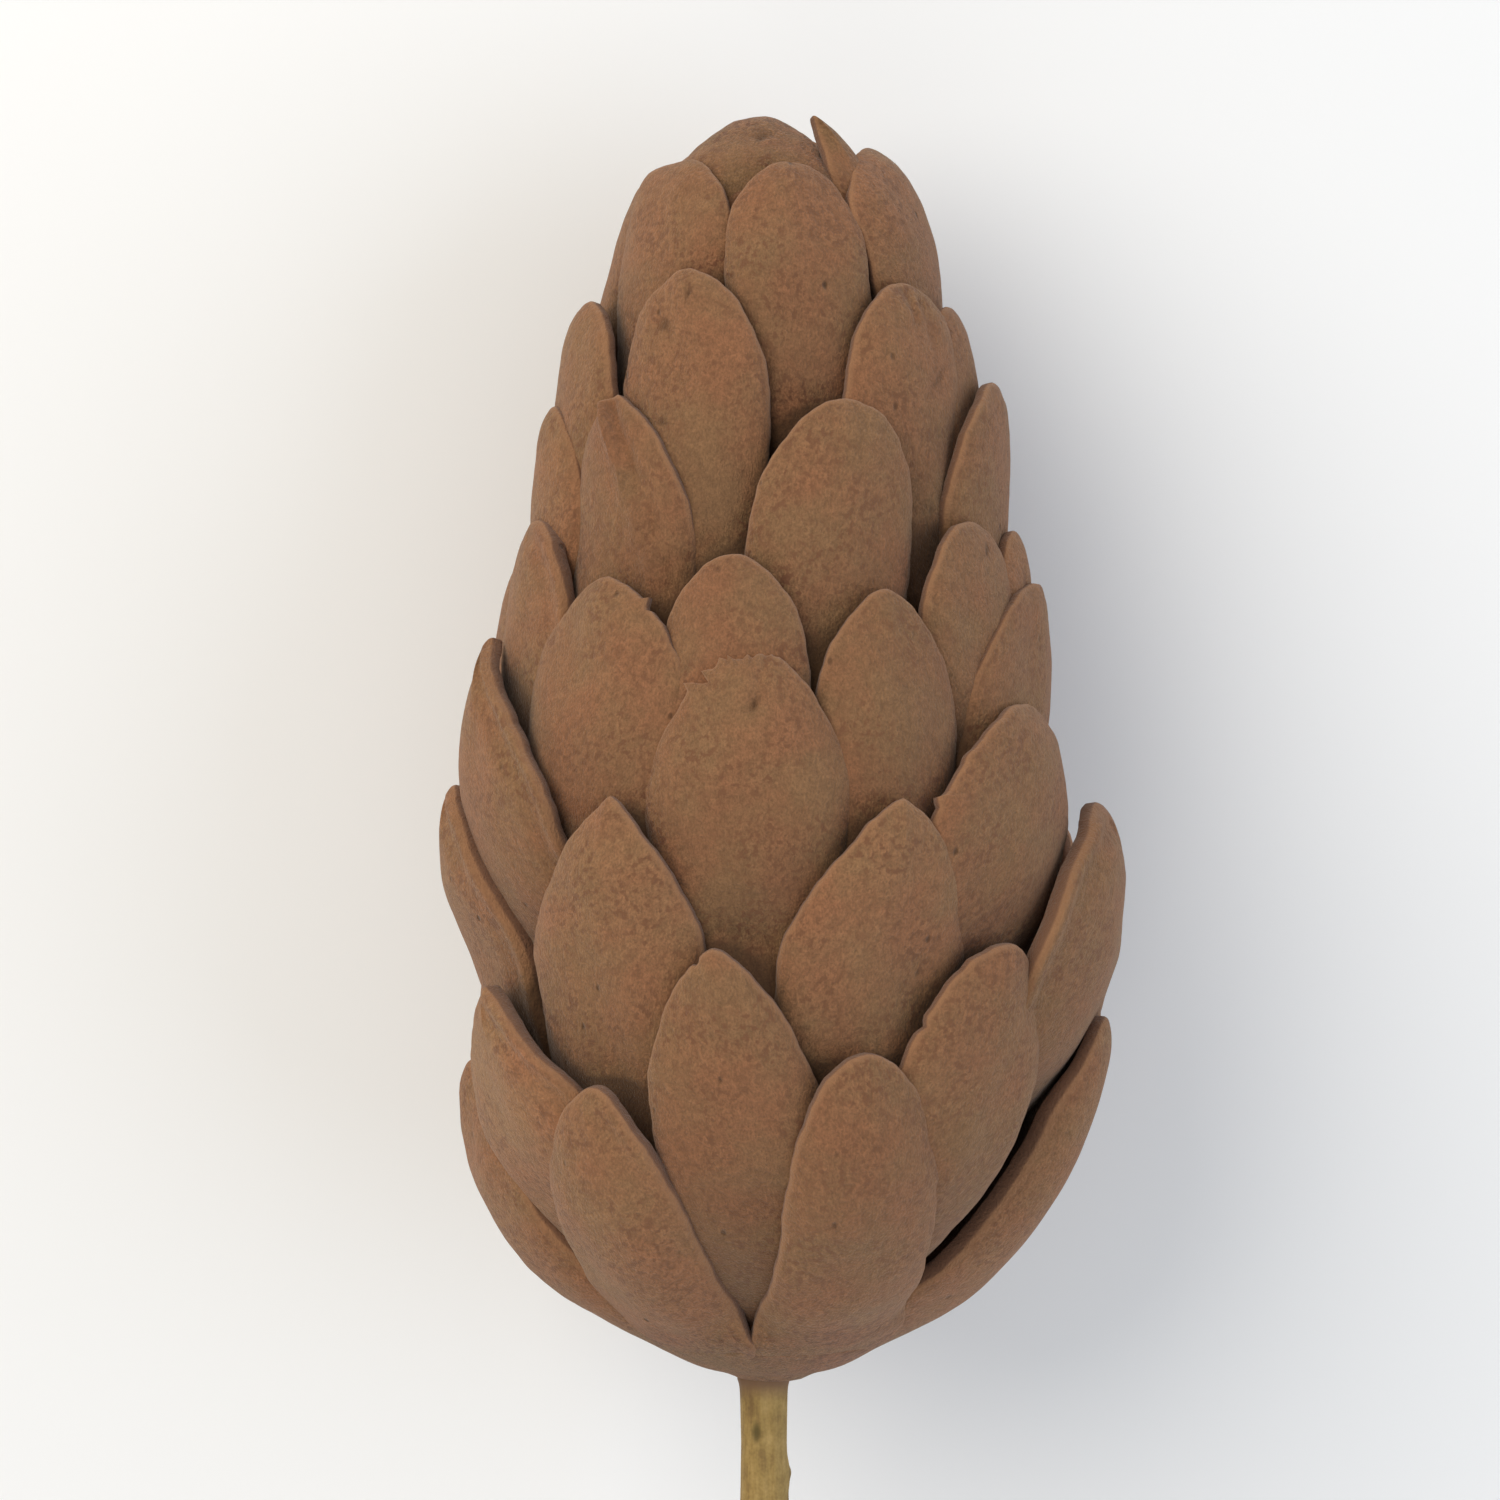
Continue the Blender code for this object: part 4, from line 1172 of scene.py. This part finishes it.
def bark_material():
    """Khaki bark with streaks, its scars, the head's brown at the top and bare wood at the cut."""
    keys = ("near_head", "cut", "stain")
    finish, tree, shader, flat, (near_head, cut, stain) = start_finish("dried twig bark", keys)
    stretched = add_node(tree, "ShaderNodeMapping", {"Vector": flat, "Scale": (1.0, 0.12, 1.0)})
    streaks = add_node(tree, "ShaderNodeTexNoise", {"Vector": stretched, "Scale": 1 / STREAK_MM,
                                                     "Detail": 3.0, "Roughness": 0.6})
    clouds = add_node(tree, "ShaderNodeTexNoise", {"Vector": flat, "Scale": 1 / CLOUD_MM, "Detail": 3.0,
                                                    "Roughness": 0.6})
    mixed = add_node(tree, "ShaderNodeMath", {0: streaks, 1: clouds}, operation="ADD")
    halved = add_node(tree, "ShaderNodeMath", {0: mixed, 1: 0.5}, operation="MULTIPLY")
    base = add_node(tree, "ShaderNodeValToRGB", {"Fac": halved})
    set_ramp(base, [(0.36, "#7A5F36"), (0.5, "#957A44"), (0.64, "#A88B54")])
    speckle = add_node(tree, "ShaderNodeTexNoise", {"Vector": flat, "Scale": 1 / SPECKLE_MM, "Detail": 2.0})
    light = add_node(tree, "ShaderNodeMapRange", {"Value": speckle, "From Min": 0.3, "From Max": 0.7,
                                                  "To Min": 0.93, "To Max": 1.07})
    colour = add_node(tree, "ShaderNodeVectorMath", {0: base, "Scale": light}, operation="SCALE")
    for share, over in ((stain, "#5E4E27"), (near_head, "#77593F"), (cut, "#C2AC80")):
        colour = add_node(tree, "ShaderNodeMix", {"Factor": share, "A": colour, "B": linear(over)},
                          data_type="RGBA")
    bump = add_node(tree, "ShaderNodeBump", {"Height": halved, "Strength": 0.4, "Distance": BARK_BUMP})
    set_inputs(shader, {"Base Color": colour, "Normal": bump, "Metallic": 0.0, "IOR": PLANT_FIBRE_IOR,
                        "Roughness": 0.7, "Specular IOR Level": 0.3})
    return finish


add_piece("stem_bark", "stem", [make_stem()], bark_material())

# %% [markdown]
# ## Floor, light and camera
#
# The photograph is a studio cut-out: soft light from the upper left, and white all round. The floor is
# matt white paper, whose pressed fibres scatter light evenly. The camera stands square to the cone's
# upper side, so in the room it looks down. Lights and camera are placed in the frame of the upright
# head, and the same matrix that lays the head down takes them with it.

# %% Floor
FLOOR_HALF = 3.0


def add_floor():
    """A sheet of white paper, large enough to fill the picture."""
    mesh = bpy.data.meshes.new("floor")
    corners = [(x * FLOOR_HALF, y * FLOOR_HALF, 0.0) for x, y in ((-1, -1), (1, -1), (1, 1), (-1, 1))]
    mesh.from_pydata(corners, [], [(0, 1, 2, 3)])
    paper = bpy.data.materials.new("white paper floor")
    paper.use_nodes = True
    set_inputs(paper.node_tree.nodes["Principled BSDF"], {"Base Color": linear("#F2F2F0"), "Roughness": 0.9})
    mesh.materials.append(paper)
    floor = bpy.data.objects.new("floor", mesh)
    bpy.context.scene.collection.objects.link(floor)


add_floor()

# %% Lights
# Name, place in mm, width in metres, power in watts and colour
LIGHTS = [
    ("key", (-300.0, 260.0, 370.0), 0.55, 2.25, "#FFF9F0"),
    ("fill", (360.0, 0.0, 260.0), 0.50, 1.05, "#D6E4FA"),
    ("low", (-60.0, -330.0, 200.0), 0.40, 0.3, "#FFFFFF"),
]
MIDDLE_OF_HEAD = (0.0, 45.0, 0.0)
ROOM_LIGHT = 0.43


def in_room(place_mm):
    """A place in the frame of the upright head, as a place in the room."""
    return (LAID_DOWN @ Vector(place_mm)) * MM


def add_lights():
    """Three soft lamps that face the head, and an even white room."""
    for name, place, size, power, colour in LIGHTS:
        lamp = bpy.data.lights.new(name, "AREA")
        lamp.shape = "DISK"
        lamp.size = size
        lamp.energy = power
        lamp.color = linear(colour)[:3]
        stand = bpy.data.objects.new(name, lamp)
        stand.location = in_room(place)
        aim = in_room(MIDDLE_OF_HEAD) - stand.location
        stand.rotation_euler = aim.to_track_quat("-Z", "Y").to_euler()
        bpy.context.scene.collection.objects.link(stand)
    world = bpy.data.worlds.new("studio")
    world.use_nodes = True
    set_inputs(world.node_tree.nodes["Background"], {"Color": linear("#FFFFFF"), "Strength": ROOM_LIGHT})
    bpy.context.scene.world = world
    bpy.context.scene.view_settings.view_transform = "Standard"


add_lights()
print("lamps:", [name for name, *_ in LIGHTS])

# %% Camera
CAMERA_AT_MM = (-1.56, 44.5, 442.0)
LENS_MM = 150.0
SENSOR_MM = 36.0


def add_camera():
    """A long lens that looks straight along the depth of the upright head."""
    lens = bpy.data.cameras.new("camera")
    lens.lens = LENS_MM
    lens.sensor_width = SENSOR_MM
    lens.clip_start = 10.0 * MM
    camera = bpy.data.objects.new("camera", lens)
    where = LAID_DOWN.copy()
    where.translation = where.translation * MM
    camera.matrix_world = where @ Matrix.Translation(Vector(CAMERA_AT_MM) * MM)
    bpy.context.scene.collection.objects.link(camera)
    bpy.context.scene.camera = camera


add_camera()
print("the camera stands at", [round(value, 3) for value in in_room(CAMERA_AT_MM)], "m")
